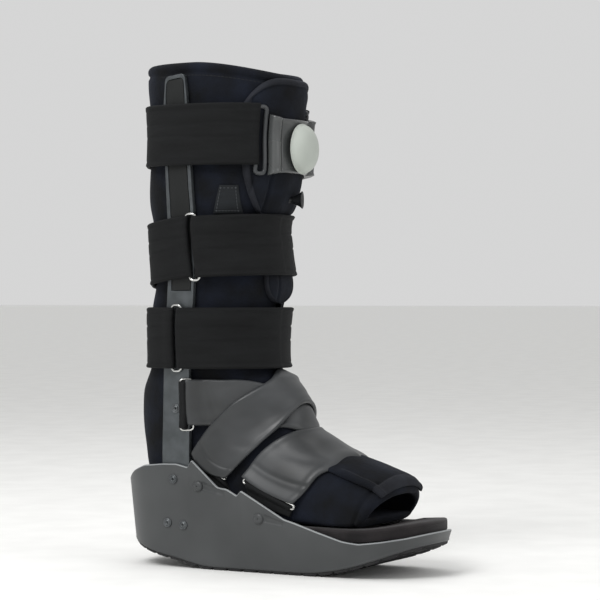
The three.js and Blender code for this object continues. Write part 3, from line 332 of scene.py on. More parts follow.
def new_object(name, points, faces, uvs, material):
    """Mesh in metres from points in millimetres, turned outwards by its volume"""
    points = np.asarray(points, float)
    faces = np.asarray(faces)
    p, q, r, t = (points[faces[:, k]] for k in range(4))
    volume = np.einsum("ij,ij->", p, np.cross(q, r)) + np.einsum("ij,ij->", p, np.cross(r, t))
    if volume < 0:
        faces = faces[:, ::-1]
        uvs = None if uvs is None else uvs[:, ::-1]
    mesh = bpy.data.meshes.new(name)
    lists = [[k for i, k in enumerate(f) if k != f[i - 1]] for f in faces.tolist()]
    mesh.from_pydata((points * MM).tolist(), [], lists)
    if uvs is not None:
        layer = mesh.uv_layers.new(name="UVMap")
        kept = [
            uv for f, corners in zip(faces.tolist(), uvs.tolist())
            for i, uv in enumerate(corners) if f[i] != f[i - 1]
        ]
        layer.data.foreach_set("uv", np.asarray(kept).ravel())
    mesh.materials.append(material)
    return shade_smooth(in_scene(name, mesh))


def grid_faces(rows, columns, wrap_rows=False, wrap_columns=False):
    """Quads of a grid of points, and the grid place of each corner, unwrapped"""
    i, j = np.meshgrid(
        np.arange(rows if wrap_rows else rows - 1),
        np.arange(columns if wrap_columns else columns - 1),
        indexing="ij",
    )
    corners = [(i, j), (i + 1, j), (i + 1, j + 1), (i, j + 1)]
    index = [(a % rows) * columns + b % columns for a, b in corners]
    places = [np.stack([a, b], -1) for a, b in corners]
    return np.stack(index, -1).reshape(-1, 4), np.stack(places, -2).reshape(-1, 4, 2)


def spread(count, span, edge):
    """Places from 0 to 1, with extra ones near both ends where an edge is rounded"""
    near = edge / span * np.array([0, 0.04, 0.16, 0.4, 1.0])
    middle = np.linspace(near[-1], 1 - near[-1], count)[1:-1]
    return np.concatenate([near, middle, 1 - near[::-1]])


def round_edge(place, span, edge):
    d = np.clip(np.minimum(place, 1 - place) * span / edge, 0, 1)
    return np.sqrt(1 - (1 - d) ** 2)


def slab(name, place, material, counts, spans, layers, edges, relief=None):
    """Sheet with a thickness and rounded edges. place(a, b, depth) gives its points,
    relief(a, b) what its face stands out, layers its inner and outer depth"""
    a, b = np.meshgrid(
        spread(counts[0], spans[0], edges[0]),
        spread(counts[1], spans[1], edges[1]),
        indexing="ij",
    )
    ease = round_edge(a, spans[0], edges[0]) * round_edge(b, spans[1], edges[1])
    inner, outer = (x(a, b) if callable(x) else x for x in layers)
    middle, half = (inner + outer) / 2, (outer - inner) / 2
    lift = relief(a, b) if relief else 0.0
    top = place(a, b, middle + (half + lift) * ease)
    under = place(a, b, middle - half * ease)
    rows, columns = a.shape
    inside = np.zeros(a.shape, bool)
    inside[1:-1, 1:-1] = True
    index = np.arange(rows * columns).reshape(a.shape)
    lower = index.copy()
    lower[inside] = rows * columns + np.arange(inside.sum())
    points = np.concatenate([top.reshape(-1, 3), under[inside]])
    faces, _ = grid_faces(rows, columns)
    flat = np.stack([a * spans[0] * MM, b * spans[1] * MM], -1).reshape(-1, 2)
    uv = flat[faces]
    faces = np.concatenate([faces, lower.ravel()[faces][:, ::-1]])
    uv = np.concatenate([uv, uv[:, ::-1]])
    return new_object(name, points, faces, uv, material)


# A direction that no wire runs along
SLANT = (0.31, 0.17, 0.94)


def tube_along(name, path, radius, material, sides=10):
    """Closed round wire through the points of a path, in millimetres"""
    path = np.asarray(path, float)
    tangent = np.roll(path, -1, axis=0) - np.roll(path, 1, axis=0)
    tangent /= np.linalg.norm(tangent, axis=1)[:, None]
    normal = np.cross(tangent[0], SLANT)
    turns = np.arange(sides) / sides * math.tau
    rings = []
    for i, point in enumerate(path):
        normal = normal - tangent[i] * np.dot(normal, tangent[i])
        normal /= np.linalg.norm(normal)
        side = np.cross(tangent[i], normal)
        rings.append(point + radius * (np.cos(turns)[:, None] * normal + np.sin(turns)[:, None] * side))
    # The last ring is turned to meet the first
    offset = np.argmin(np.linalg.norm(rings[-1] - rings[0][0], axis=1))
    faces, _ = grid_faces(len(path), sides, False, True)
    around = np.arange(sides)
    last = (len(path) - 1) * sides
    closing = (
        last + (around + offset) % sides,
        last + (around + 1 + offset) % sides,
        (around + 1) % sides,
        around,
    )
    faces = np.concatenate([faces, np.stack(closing, -1)])
    return new_object(name, np.concatenate(rings), faces, None, material)


def lathe(name, profile, place, material, sides=48):
    """Turned form: profile rows of radius and reach, place(radius, turn, reach) gives points"""
    turns = np.arange(sides) / sides * math.tau
    points = np.concatenate([place(radius, turns, reach) for radius, reach in profile])
    faces, _ = grid_faces(len(profile), sides, False, True)
    around = np.arange(sides)
    caps = []
    for row in (0, len(profile) - 1):
        middle = points[row * sides : (row + 1) * sides].mean(axis=0)
        tip = len(points)
        points = np.vstack([points, middle])
        a, b = row * sides + around, row * sides + (around + 1) % sides
        tips = np.full(sides, tip)
        caps.append(np.stack([tips, b, a, tips] if row == 0 else [tips, a, b, tips], -1))
    return new_object(name, points, np.concatenate([faces, *caps]), None, material)


# Materials


def linear(colour):
    """sRGB hex colour to linear values"""
    parts = [int(colour[i : i + 2], 16) / 255 for i in (1, 3, 5)]
    return [c / 12.92 if c <= 0.04045 else ((c + 0.055) / 1.055) ** 2.4 for c in parts] + [1.0]


def node(tree, kind, values=None, links=None, **settings):
    """Adds a node with its settings, its fixed values and what feeds it"""
    made = tree.nodes.new(kind)
    for key, value in settings.items():
        setattr(made, key, value)
    for key, value in (values or {}).items():
        made.inputs[key].default_value = value
    for key, source in (links or {}).items():
        tree.links.new(source, made.inputs[key])
    return made


def new_material(name, **values):
    """Principled material with its fixed values, and the tree to add to"""
    material = bpy.data.materials.new(name)
    material.use_nodes = True
    tree = material.node_tree
    tree.nodes.clear()
    shader = node(tree, "ShaderNodeBsdfPrincipled", values=values)
    node(tree, "ShaderNodeOutputMaterial", links={"Surface": shader.outputs[0]})
    return material, tree, shader


def noise(tree, source, size_mm, detail=3.0, rough=0.55, stretch=(1, 1, 1)):
    """Noise with lumps of a size in millimetres"""
    scaled = node(
        tree, "ShaderNodeMapping", values={"Scale": [x / (size_mm * MM) for x in stretch]},
        links={"Vector": source},
    )
    made = node(
        tree, "ShaderNodeTexNoise",
        values={"Scale": 1.0, "Detail": detail, "Roughness": rough},
        links={"Vector": scaled.outputs[0]},
    )
    return made.outputs["Fac"]


def paint(tree, shader, factor, low, high, dark, light):
    """Base colour that goes from dark to light as the factor goes from low to high"""
    ranged = node(
        tree, "ShaderNodeMapRange", values={"From Min": low, "From Max": high},
        links={"Value": factor},
    )
    mixed = node(
        tree, "ShaderNodeMix", values={6: linear(dark), 7: linear(light)},
        links={0: ranged.outputs[0]}, data_type="RGBA",
    )
    tree.links.new(mixed.outputs[2], shader.inputs["Base Color"])


def vary_roughness(tree, shader, factor, low, high):
    ranged = node(
        tree, "ShaderNodeMapRange",
        values={"From Min": 0.3, "From Max": 0.7, "To Min": low, "To Max": high},
        links={"Value": factor},
    )
    tree.links.new(ranged.outputs[0], shader.inputs["Roughness"])


def maths(tree, operation, *terms):
    """Result of a math node whose terms are outputs or plain numbers"""
    made = node(tree, "ShaderNodeMath", operation=operation)
    for socket, term in zip(made.inputs, terms):
        if isinstance(term, float):
            socket.default_value = term
        else:
            tree.links.new(term, socket)
    return made.outputs[0]


def add_bump(tree, shader, heights):
    """Chain of bumps, each a height output, its strength and its depth in millimetres"""
    normal = None
    for height, strength, depth in heights:
        made = node(
            tree, "ShaderNodeBump",
            values={"Strength": strength, "Distance": depth * MM},
            links={"Height": height},
        )
        if normal is not None:
            tree.links.new(normal, made.inputs["Normal"])
        normal = made.outputs[0]
    tree.links.new(normal, shader.inputs["Normal"])


def brushed_loop_cloth(name, dark, light):
    """Padded laminate faced with brushed nylon loop: no gloss, a soft pile that lights up
    at glancing angles. The pile is 0.5 mm fine and is drawn at 1 mm"""
    material, tree, shader = new_material(
        name, **{"Roughness": 0.92, "Sheen Weight": 0.07, "Sheen Roughness": 0.45,
                 "Sheen Tint": linear("#7c8190"), "Specular IOR Level": 0.16}
    )
    place = node(tree, "ShaderNodeTexCoord").outputs["Object"]
    patches = noise(tree, place, 34, 3.0)
    pile = noise(tree, place, 1.0, 2.0, 0.7)
    tufts = noise(tree, place, 4.5, 3.0, 0.6)
    paint(tree, shader, patches, 0.35, 0.68, dark, light)
    add_bump(tree, shader, [(tufts, 0.35, 1.1), (pile, 0.6, 0.45)])
    return material


def hook_loop_webbing(name, dark, light):
    """Woven nylon loop strap: close ribs along its length, each about 0.9 mm, drawn at
    1.5 mm, and a pile worn into faint streaks that run lengthwise"""
    material, tree, shader = new_material(
        name, **{"Roughness": 0.8, "Sheen Weight": 0.04, "Sheen Roughness": 0.4,
                 "Sheen Tint": linear("#8d9196"), "Specular IOR Level": 0.18}
    )
    uv = node(tree, "ShaderNodeUVMap", uv_map="UVMap").outputs[0]
    split = node(tree, "ShaderNodeSeparateXYZ", links={0: uv})
    waves = [
        maths(tree, "SINE", maths(tree, "MULTIPLY", split.outputs[axis], math.tau / (pitch * MM)))
        for axis, pitch in (("X", 1.5), ("Y", 1.1))
    ]
    weave = maths(tree, "MULTIPLY", *waves)
    streaks = noise(tree, uv, 10, 4.0, 0.65, (0.16, 1, 1))
    pile = noise(tree, uv, 1.6, 2.0, 0.7)
    paint(tree, shader, streaks, 0.36, 0.66, dark, light)
    vary_roughness(tree, shader, streaks, 0.7, 0.86)
    add_bump(tree, shader, [(streaks, 0.45, 0.8), (weave, 0.5, 0.25), (pile, 0.5, 0.3)])
    return material


def coated_band(name, dark, light):
    """Vinyl-coated foam band: satin, with broad clouds where it is rubbed and soft creases
    across it"""
    material, tree, shader = new_material(name, **{"Roughness": 0.42, "Specular IOR Level": 0.5})
    place = node(tree, "ShaderNodeTexCoord").outputs["Object"]
    clouds = noise(tree, place, 70, 1.0, 0.4)
    rubbed = noise(tree, place, 26, 2.0, 0.45, (1, 0.6, 1))
    grain = noise(tree, place, 0.8, 1.0, 0.5)
    half = maths(tree, "MULTIPLY", maths(tree, "ADD", clouds, rubbed), 0.5)
    paint(tree, shader, half, 0.4, 0.62, dark, light)
    vary_roughness(tree, shader, rubbed, 0.34, 0.48)
    add_bump(tree, shader, [(rubbed, 0.12, 1.6), (grain, 0.1, 0.12)])
    return material


def moulded_plastic(name, dark, light, rough, grain_mm=0.9, grain=0.12, spec=0.4):
    """Injection-moulded polypropylene or nylon: an even satin skin with a fine spark-eroded
    grain, and faint flow clouds"""
    material, tree, shader = new_material(name, **{"Roughness": rough, "Specular IOR Level": spec})
    place = node(tree, "ShaderNodeTexCoord").outputs["Object"]
    clouds = noise(tree, place, 60, 2.0)
    pebble = noise(tree, place, grain_mm, 1.0, 0.5)
    paint(tree, shader, clouds, 0.35, 0.65, dark, light)
    vary_roughness(tree, shader, clouds, rough - 0.04, rough + 0.05)
    add_bump(tree, shader, [(pebble, grain, 0.15)])
    return material


def closed_cell_foam(name, dark, light):
    """EVA foam sheet with a brushed cloth top: 0.6 mm pores on its cut edge, drawn at 1.1 mm"""
    material, tree, shader = new_material(
        name, **{"Roughness": 0.95, "Specular IOR Level": 0.2, "Sheen Weight": 0.15, "Sheen Roughness": 0.5}
    )
    place = node(tree, "ShaderNodeTexCoord").outputs["Object"]
    cells = noise(tree, place, 1.1, 3.0, 0.7)
    patches = noise(tree, place, 18, 3.0)
    paint(tree, shader, patches, 0.35, 0.65, dark, light)
    add_bump(tree, shader, [(cells, 0.5, 0.5)])
    return material


def metal(name, dark, light, rough, metallic=1.0):
    """Plated or anodised metal, with drawing marks too fine to see as lines"""
    material, tree, shader = new_material(name, **{"Roughness": rough, "Metallic": metallic})
    place = node(tree, "ShaderNodeTexCoord").outputs["Object"]
    tone = noise(tree, place, 12, 3.0)
    fine = noise(tree, place, 0.7, 2.0, 0.6)
    paint(tree, shader, tone, 0.3, 0.7, dark, light)
    vary_roughness(tree, shader, tone, rough - 0.05, rough + 0.07)
    add_bump(tree, shader, [(fine, 0.06, 0.1)])
    return material


LINER_CLOTH = brushed_loop_cloth("brushed_nylon_loop_black", "#0d0e10", "#161a24")
FLAP_CLOTH = brushed_loop_cloth("brushed_nylon_loop_navy", "#0d0e11", "#171b24")
BINDING = brushed_loop_cloth("brushed_binding_charcoal", "#1c1d21", "#282a30")
STRAP_WEB = hook_loop_webbing("woven_loop_strap_black", "#0c0d0e", "#18191a")
LOOP_WEB = hook_loop_webbing("woven_nylon_tape_black", "#121314", "#1c1d1e")
TAB_WEB = hook_loop_webbing("woven_tab_dark_grey", "#1b1d1f", "#26292c")
BAND_SKIN = coated_band("vinyl_coated_foam_grey", "#262829", "#37393b")
SHELL_SKIN = moulded_plastic("moulded_polypropylene_grey", "#3b3d3e", "#454748", 0.42)
# Lighter copy of the shell's plastic for the rounded rim: a painted highlight along the rim's edge
RIM_PAINTED_HIGHLIGHT = moulded_plastic("moulded_polypropylene_rim", "#7b7e80", "#8d9091", 0.36)
TREAD_SKIN = moulded_plastic("moulded_rubber_black", "#29292a", "#323233", 0.82, 1.4, 0.3, 0.25)
FOOTBED_SKIN = closed_cell_foam("eva_foam_black", "#181617", "#242122")
FOOTBED_EDGE_SKIN = closed_cell_foam("cloth_edge_charcoal", "#211e1f", "#2b2829")
UPRIGHT_SKIN = metal("anodised_aluminium_grey", "#464a4c", "#565a5d", 0.4, 0.6)
INSERT_SKIN = moulded_plastic("moulded_nylon_black", "#0f1111", "#161818", 0.5, spec=0.28)
WIRE_SKIN = metal("nickel_plated_steel", "#b7b8b7", "#d6d6d3", 0.2)
RING_SKIN = moulded_plastic("moulded_acetal_charcoal", "#303234", "#3c3e40", 0.3)
SHIELD_SKIN = moulded_plastic("moulded_nylon_grey", "#3a3c3d", "#484a4a", 0.24, spec=0.6)
PUMP_SKIN = moulded_plastic("moulded_silicone_pale_grey", "#a4aaa3", "#b6bbb4", 0.5, 1.2, 0.05, 0.35)
VALVE_SKIN = moulded_plastic("moulded_abs_black", "#101112", "#17181a", 0.4)
SCREW_SKIN = metal("zinc_plated_steel_dark", "#4b4e50", "#66696b", 0.38, 0.9)
THREAD = moulded_plastic("polyester_thread_black", "#17181a", "#25272a", 0.7)
THREAD_GREY = moulded_plastic("polyester_thread_grey", "#3c3f42", "#4c4f52", 0.7)


# Geometry nodes: each tree sets copies of one small form on places


def new_tree(name, output, **inputs):
    """Tree with its named inputs and its output, and the node that the inputs come from"""
    tree = bpy.data.node_groups.new(name, "GeometryNodeTree")
    tree.is_modifier = True
    for label, kind in inputs.items():
        label = label.replace("_", " ")
        tree.interface.new_socket(label, in_out="INPUT", socket_type="NodeSocket" + kind)
    tree.interface.new_socket(output, in_out="OUTPUT", socket_type="NodeSocketGeometry")
    return tree, node(tree, "NodeGroupInput")


def end_tree(tree, points, form, turn, material):
    """Sets a copy of the form on every point, turned, and gives the copies their material"""
    placed = node(
        tree, "GeometryNodeInstanceOnPoints",
        links={"Points": points.outputs[0], "Instance": form, "Rotation": turn.outputs[0]},
    )
    real = node(tree, "GeometryNodeRealizeInstances", links={0: placed.outputs[0]})
    dressed = node(
        tree, "GeometryNodeSetMaterial", links={"Geometry": real.outputs[0], "Material": material}
    )
    node(tree, "NodeGroupOutput", links={0: dressed.outputs[0]})
    return tree


def plain_mesh(obj):
    """The object with its modifiers worked into its mesh"""
    graph = bpy.context.evaluated_depsgraph_get()
    mesh = bpy.data.meshes.new_from_object(obj.evaluated_get(graph))
    obj.modifiers.clear()
    obj.data = mesh
    return obj


def run_tree(obj, tree, **values):
    """Runs a tree on an object, its inputs set by the identifiers of their sockets"""
    modifier = obj.modifiers.new(tree.name, "NODES")
    modifier.node_group = tree
    for item in tree.interface.items_tree:
        key = item.name.replace(" ", "_")
        if item.item_type == "SOCKET" and item.in_out == "INPUT" and key in values:
            modifier[item.identifier] = values[key]
    return plain_mesh(obj)


# Stitches: a short thread on every step along a line


def stitch_tree():
    tree, start = new_tree(
        "stitches_along_lines", "Stitches",
        Lines="Geometry", Spacing="Float", Stitch_Length="Float", Thread_Radius="Float",
        Thread="Material",
    )
    curve = node(tree, "GeometryNodeMeshToCurve", links={0: start.outputs["Lines"]})
    spaced = node(
        tree, "GeometryNodeResampleCurve",
        links={"Curve": curve.outputs[0], "Length": start.outputs["Spacing"]}, mode="LENGTH",
    )
    tangent = node(tree, "GeometryNodeInputTangent")
    aligned = node(
        tree, "FunctionNodeAlignRotationToVector", links={"Vector": tangent.outputs[0]}, axis="Z"
    )
    thread = node(
        tree, "GeometryNodeMeshCylinder", values={"Vertices": 6, "Side Segments": 1},
        links={"Radius": start.outputs["Thread Radius"], "Depth": start.outputs["Stitch Length"]},
    )
    return end_tree(tree, spaced, thread.outputs[0], aligned, start.outputs["Thread"])


STITCH_TREE = stitch_tree()


def stitches(name, lines, thread, spacing, length, radius):
    """Rows of stitches along lines of points, in millimetres, joined as one piece"""
    mesh = bpy.data.meshes.new(name)
    points, edges = [], []
    for line in lines:
        first = len(points)
        points.extend((np.asarray(line, float) * MM).tolist())
        edges.extend((first + i, first + i + 1) for i in range(len(line) - 1))
    mesh.from_pydata(points, edges, [])
    return run_tree(
        in_scene(name, mesh), STITCH_TREE, Spacing=spacing * MM, Stitch_Length=length * MM,
        Thread_Radius=radius * MM, Thread=thread,
    )


# Every piece is entered here with the solids it stands for and its finish
made = []


def enter(piece, slot, *nodes, fill=None):
    made.append((piece, slot, nodes, fill))
    return piece


def ripple(s, turn, seed=0.0):
    """Slow uneven waves of padded cloth, about -1 to 1"""
    return (
        np.sin(s / 17 + 2.1 * np.sin(3 * turn + seed)) * 0.45
        + np.sin(s / 9.5 + 4 * turn + 1.7 * seed) * 0.3
        + np.sin(5 * turn - s / 26 + seed) * 0.25
    )


STRAP_LEVELS = [COLLAR_HEIGHT - z for z in (STRAP_TOP, STRAP_MIDDLE, STRAP_LOWER)]


def free_of_straps(s):
    """1 where no strap holds the cloth down, 0 under a strap"""
    held = sum(bump(s, level, STRAP_WIDTH * 0.5) ** 0.5 for level in STRAP_LEVELS)
    return np.clip(1 - held, 0, 1)


# Liner: one padded tube with rounded rims at the collar and at the toes

LINER_AROUND = 168
OUTER_ROWS = 300
INNER_ROWS = 150
RIM_STEPS = 6
COLLAR_SEAM = 9
TOE_SEAM = LINER_LENGTH - 9.5
PUFF = 1.6
WAVE = 0.5
# Seams and rolls at its two rims: height, middle and width
LINER_RIMS = (
    (-1.7, COLLAR_SEAM, 1.4),
    (-2.2, TOE_SEAM, 1.3),
    (0.9, 4, 3.4),
    (1.2, LINER_LENGTH - 4.5, 3.2),
)


def make_liner():
    edge = LINER_WALL / 2
    turns = np.arange(RIM_STEPS + 1) / RIM_STEPS * math.pi
    rows = np.linspace(edge, LINER_LENGTH - edge, OUTER_ROWS)
    inner_rows = np.linspace(LINER_LENGTH - edge, edge, INNER_ROWS)
    far = LINER_LENGTH - edge + edge * np.sin(turns)
    near = edge - edge * np.sin(turns)
    rounded = edge * (np.cos(turns) - 1)
    s = np.concatenate([rows, far[1:-1], inner_rows, near[1:-1]])
    outside = np.zeros(len(rows))
    inside = np.full(len(inner_rows), -float(LINER_WALL))
    offset = np.concatenate([outside, rounded[1:-1], inside, rounded[::-1][1:-1]])
    around = np.arange(LINER_AROUND) / LINER_AROUND * math.tau
    s, turn = np.meshgrid(s, around, indexing="ij")
    offset = np.broadcast_to(offset[:, None], s.shape)
    face = np.where(offset > -edge, 1.0, 0.0)
    leg = 1 - step(LEG_RISE - 20, LEG_RISE + 20, s)
    toes = step(LINER_LENGTH - 90, LINER_LENGTH - 50, s)
    back = step(0.2, 0.75, -np.cos(turn))
    side = np.abs(np.sin(turn))
    puff = PUFF * free_of_straps(s) * leg * (0.35 + 0.65 * back) * (1 - 0.8 * side**6)
    waves = WAVE * ripple(s, turn, 0.4) * (leg + toes) * (1 - 0.7 * side**4)
    relief = (puff + waves + ridges(s, LINER_RIMS)) * face
    points = liner_point(s, turn, offset + relief)
    faces, _ = grid_faces(*s.shape, True, True)
    return new_object("padded_liner", points.reshape(-1, 3), faces, None, LINER_CLOTH)


enter(make_liner(), "liner_cloth", "liner", fill=0.7)


# Front flap: edge turned by the side outline. height: share of the leg's rise, y: share of
# the leg's depth forward of the axis
FLAP_EDGE = (
    (0.958, 0.375),
    (0.88, 0.36),
    (0.83, 0.34),
    (0.64, 0.345),
    (0.5, 0.38),
    (0.3, 0.41),
    (0.05, 0.425),
    (-0.1, 0.425),
)
FLAP_TOP = 2.8
FLAP_CORNER = 30
FLAP_BOTTOM = LEG_RISE + 4
FLAP_SPAN = (110, 262)
# Rolls down the flap: turn in degrees, half width in degrees, height in millimetres
FLAP_ROLLS = (
    (46, 4.5, 1.5),
    (33, 7.0, 2.3),
    (9, 10.0, 3.0),
    (-16, 9.0, 2.4),
    (-36, 7.0, 1.8),
)
# Valleys between the rolls: turn, half width and depth, and the length where each starts
FLAP_GROOVES = (
    (41.5, 1.5, 2.2, 60),
    (25, 1.7, 3.0, 60),
    (6.5, 1.6, 2.6, 120),
    (-24, 1.8, 2.4, 60),
)
GROOVE_FADE = 25
BINDING_WIDTH = 6.4
BINDING_HEIGHT = 1.1


def flap_turn(s):
    heights, shares = np.array(FLAP_EDGE)[::-1].T
    y = np.interp((LEG_RISE - s) / LEG_RISE, heights, shares) * LEG_DEPTH
    values = smooth(LENGTHS, ROWS, np.clip(s, 0, LEG_RISE))
    middle = (values[..., 0] + values[..., 2]) / 2
    reach = (values[..., 2] - values[..., 0]) / 2
    share = np.clip((y - LEG_AXIS + middle) / reach, 0.2, 1)
    return np.arccos(share ** (TOP_SQUARE / 2))


def flap_at(a, b):
    """Length and turn of a place on the flap: a across it, b down it"""
    across = 2 * a - 1
    s = mix(FLAP_TOP + FLAP_CORNER * np.abs(across) ** 3.6, FLAP_BOTTOM, b)
    return s, across * flap_turn(s)


def flap_relief(a, b):
    s, turn = flap_at(a, b)
    degrees = np.degrees(turn)
    above_end = 1 - step(FLAP_BOTTOM - 26, FLAP_BOTTOM - 8, s)
    free = np.clip(free_of_straps(s) * 1.25, 0, 1) * above_end
    below_top = step(60, 90, s)
    rolls = sum(height * bump(degrees, middle, wide) for middle, wide, height in FLAP_ROLLS)
    grooves = sum(
        depth * bump(degrees, middle, wide) * step(start, start + GROOVE_FADE, s)
        for middle, wide, depth, start in FLAP_GROOVES
    )
    rim = np.minimum(np.minimum(a, 1 - a) * FLAP_SPAN[0], b * FLAP_SPAN[1])
    binding = BINDING_HEIGHT * step(0, 1.5, rim) * (1 - step(BINDING_WIDTH - 1.4, BINDING_WIDTH - 0.2, rim))
    binding = binding - 0.7 * bump(rim, BINDING_WIDTH + 0.6, 0.9)
    top_roll = (1 - step(30, 52, s)) * bump(rim, 14, 7)
    edges = (binding + top_roll) * (0.25 + 0.75 * free)
    return free * (below_top * rolls - grooves) + edges + 0.3 * free * ripple(s, turn, 1.1)


def bind(piece, material, inside):
    """Gives the faces whose place in millimetres is inside a binding its own finish"""
    piece.data.materials.append(material)
    layer = piece.data.uv_layers["UVMap"].data
    for face in piece.data.polygons:
        a, b = (sum(layer[i].uv[k] for i in face.loop_indices) / face.loop_total / MM for k in (0, 1))
        face.material_index = int(inside(a, b))


def make_flap():
    def place(a, b, depth):
        s, turn = flap_at(a, b)
        return liner_point(s, turn, depth)

    layers = (LAYER_GAP, LAYER_GAP + FLAP_THICKNESS)
    flap = slab(
        "front_flap_padded", place, FLAP_CLOTH, (120, 200), FLAP_SPAN, layers, (3.2, 3.2), flap_relief
    )
    bind(flap, BINDING, lambda a, b: min(a, FLAP_SPAN[0] - a, b) < BINDING_WIDTH)
    return flap


enter(make_flap(), "flap_cloth", "front_flap", fill=0.75)


# Layers over the foot, between two edges that run from the top to the side, as shares:
# y of the heel's reach or forwards of the toe's, down of the foot's rise

CROWN = 0.28


def foot_edge(line):
    """Share of an edge's length at each of its points, with their lengths and turns"""
    places = np.array([on_liner(foot_y(y), foot_z(down)) for y, down in line])
    places[0, 1] = 0.0
    points = liner_point(places[:, 0], places[:, 1])
    steps = np.linalg.norm(np.diff(points, axis=0), axis=1)
    length = np.concatenate([[0], np.cumsum(steps)])
    return length / length[-1], places


class FootLayer:
    def __init__(self, rear, front):
        self.edges = [foot_edge(line) for line in (rear, front)]

    def at(self, a, b):
        """Length and turn, a from one side over the top to the other, b rear to front"""
        across = np.abs(2 * a - 1)
        # The edges run level over the middle, with no point there
        level = (np.sqrt(across**2 + CROWN**2) - CROWN) / (math.sqrt(1 + CROWN**2) - CROWN)
        lengths, turns = (
            [smooth(knots, places[:, [k]], share)[..., 0] for knots, places in self.edges]
            for k, share in ((0, level), (1, across))
        )
        s = mix(lengths[0], lengths[1], b)
        return s, np.maximum(mix(turns[0], turns[1], b), 0) * np.sign(2 * a - 1)

    def place(self, a, b, depth):
        s, turn = self.at(a, b)
        return liner_point(s, turn, depth)


ANKLE_BAND = FootLayer(
    ((0.15, 0.06), (0.34, 0.056), (0.45, 0.052), (0.612, 0.055)),
    ((0.1, 0.31), (0.3, 0.345), (0.45, 0.352), (0.612, 0.36)),
)
INSTEP_BAND = FootLayer(
    ((0.25, -0.01), (0.3, 0.085), (0.39, 0.205), (0.5, 0.354), (0.607, 0.548)),
    ((0.19, 0.225), (0.2, 0.31), (0.255, 0.41), (0.33, 0.53), (0.44, 0.712)),
)
TOE_BAND = FootLayer(
    ((0.14, 0.36), (0.175, 0.38), (0.215, 0.41), (0.258, 0.468), (0.369, 0.698)),
    ((-0.25, 0.55), (-0.23, 0.585), (-0.12, 0.612), (0.02, 0.655), (0.055, 0.75), (0.107, 0.86)),
)
TOE_FLAP = FootLayer(
    ((-0.05, 0.545), (-0.04, 0.6), (-0.03, 0.65)),
    ((-0.985, 0.752), (-0.95, 0.78), (-0.9, 0.815)),
)


def band_relief(layer, creases, bridge, seed):
    """Soft edge roll, the wrinkles across a band, slow waves, and how far it spans a hollow"""

    def relief(a, b):
        s, turn = layer.at(a, b)
        edge = np.minimum(b, 1 - b)
        roll = 0.55 * bump(edge, 0.06, 0.05)
        folds = sum(
            -depth * bump(a + slant * (b - 0.5), middle, wide)
            for middle, wide, slant, depth in creases
        )
        span = bridge * bump(turn, 0, 0.75) * np.sin(math.pi * b) ** 0.8
        return roll + folds + span + 0.25 * ripple(s * 1.6, turn * 1.3, seed)

    return relief


# middle and width of each crease as shares across the band, its slant and its depth
ANKLE_CREASES = ((0.9, 0.012, 0.03, 0.5), (0.82, 0.02, -0.04, 0.4), (0.15, 0.015, 0.03, 0.5))
INSTEP_CREASES = (
    (0.945, 0.006, 0.0, 0.9),
    (0.055, 0.006, 0.0, 0.9),
    (0.84, 0.02, 0.05, 0.4),
    (0.72, 0.03, -0.05, 0.3),
)
TOE_CREASES = (
    (0.9, 0.012, 0.02, 0.5),
    (0.76, 0.03, 0.06, 0.5),
    (0.62, 0.04, -0.04, 0.3),
    (0.12, 0.015, 0.0, 0.5),
)
INSTEP_INNER = LAYER_GAP + BAND_THICKNESS + FIT_GAP
TOE_INNER = LAYER_GAP + FIT_GAP
END_LIFT_START = 0.86
# name, layer, inner depth, rise of its ends to the rings, rise over the middle, span, creases
FOOT_BANDS = (
    ("ankle_band", ANKLE_BAND, LAYER_GAP, 7.4, 0, (200, 42), ANKLE_CREASES),
    ("instep_band", INSTEP_BAND, INSTEP_INNER, 0.3, 1.5, (230, 40), INSTEP_CREASES),
    ("toe_band", TOE_BAND, TOE_INNER, 2.6, 5, (190, 62), TOE_CREASES),
)
for i, (name, layer, inner, rise, bridge, span, creases) in enumerate(FOOT_BANDS):

    def lifted(depth, rise=rise):
        return lambda a, b: depth + rise * step(END_LIFT_START, 1, np.abs(2 * a - 1))

    band = slab(
        name + "_coated", layer.place, BAND_SKIN, (140, 36), span,
        (lifted(inner), lifted(inner + BAND_THICKNESS)), (1.6, 1.6),
        band_relief(layer, creases, bridge, i + 0.5),
    )
    enter(band, "band_vinyl", name, fill=0.9)


TOE_FLAP_SPAN = (120, 62)
TOE_BINDING_FROM = 53
FRONT_HEM = 2.2
SIDE_HEM = 2.6
TOE_BAND_COVERS = (0.14, 0.36)


def toe_flap_relief(a, b):
    """Thick hems at the front and sides, each with a stitched groove along it"""
    across = np.abs(2 * a - 1)
    front = FRONT_HEM * step(0.84, 0.9, b) - 1.4 * bump(b, 0.82, 0.02) - 2.4 * step(0.93, 1, b)
    sides = SIDE_HEM * step(0.8, 0.9, across) - 1.2 * bump(across, 0.77, 0.03)
    # Flat under the toe band
    sides = sides * step(*TOE_BAND_COVERS, b)
    return np.maximum(front, sides) + 0.6 * ripple(60 * b, 2.4 * a, 2.0)


toe_flap = slab(
    "toe_flap_padded", TOE_FLAP.place, FLAP_CLOTH, (90, 60), TOE_FLAP_SPAN,
    (LAYER_GAP, LAYER_GAP + TOE_FLAP_THICKNESS), (2.6, 2.6),
    toe_flap_relief,
)
bind(toe_flap, BINDING, lambda a, b: b > TOE_BINDING_FROM)
enter(toe_flap, "flap_cloth", "toe_flap", fill=0.7)


# Leg straps


def turn_for(distance, turn, z):
    """Degrees that a distance along the wrap takes up near a turn"""
    a, b = (wrap_point(math.radians(turn + extra), z, 0.0) for extra in (0, 1))
    return distance / math.hypot(*(a - b)[:2])


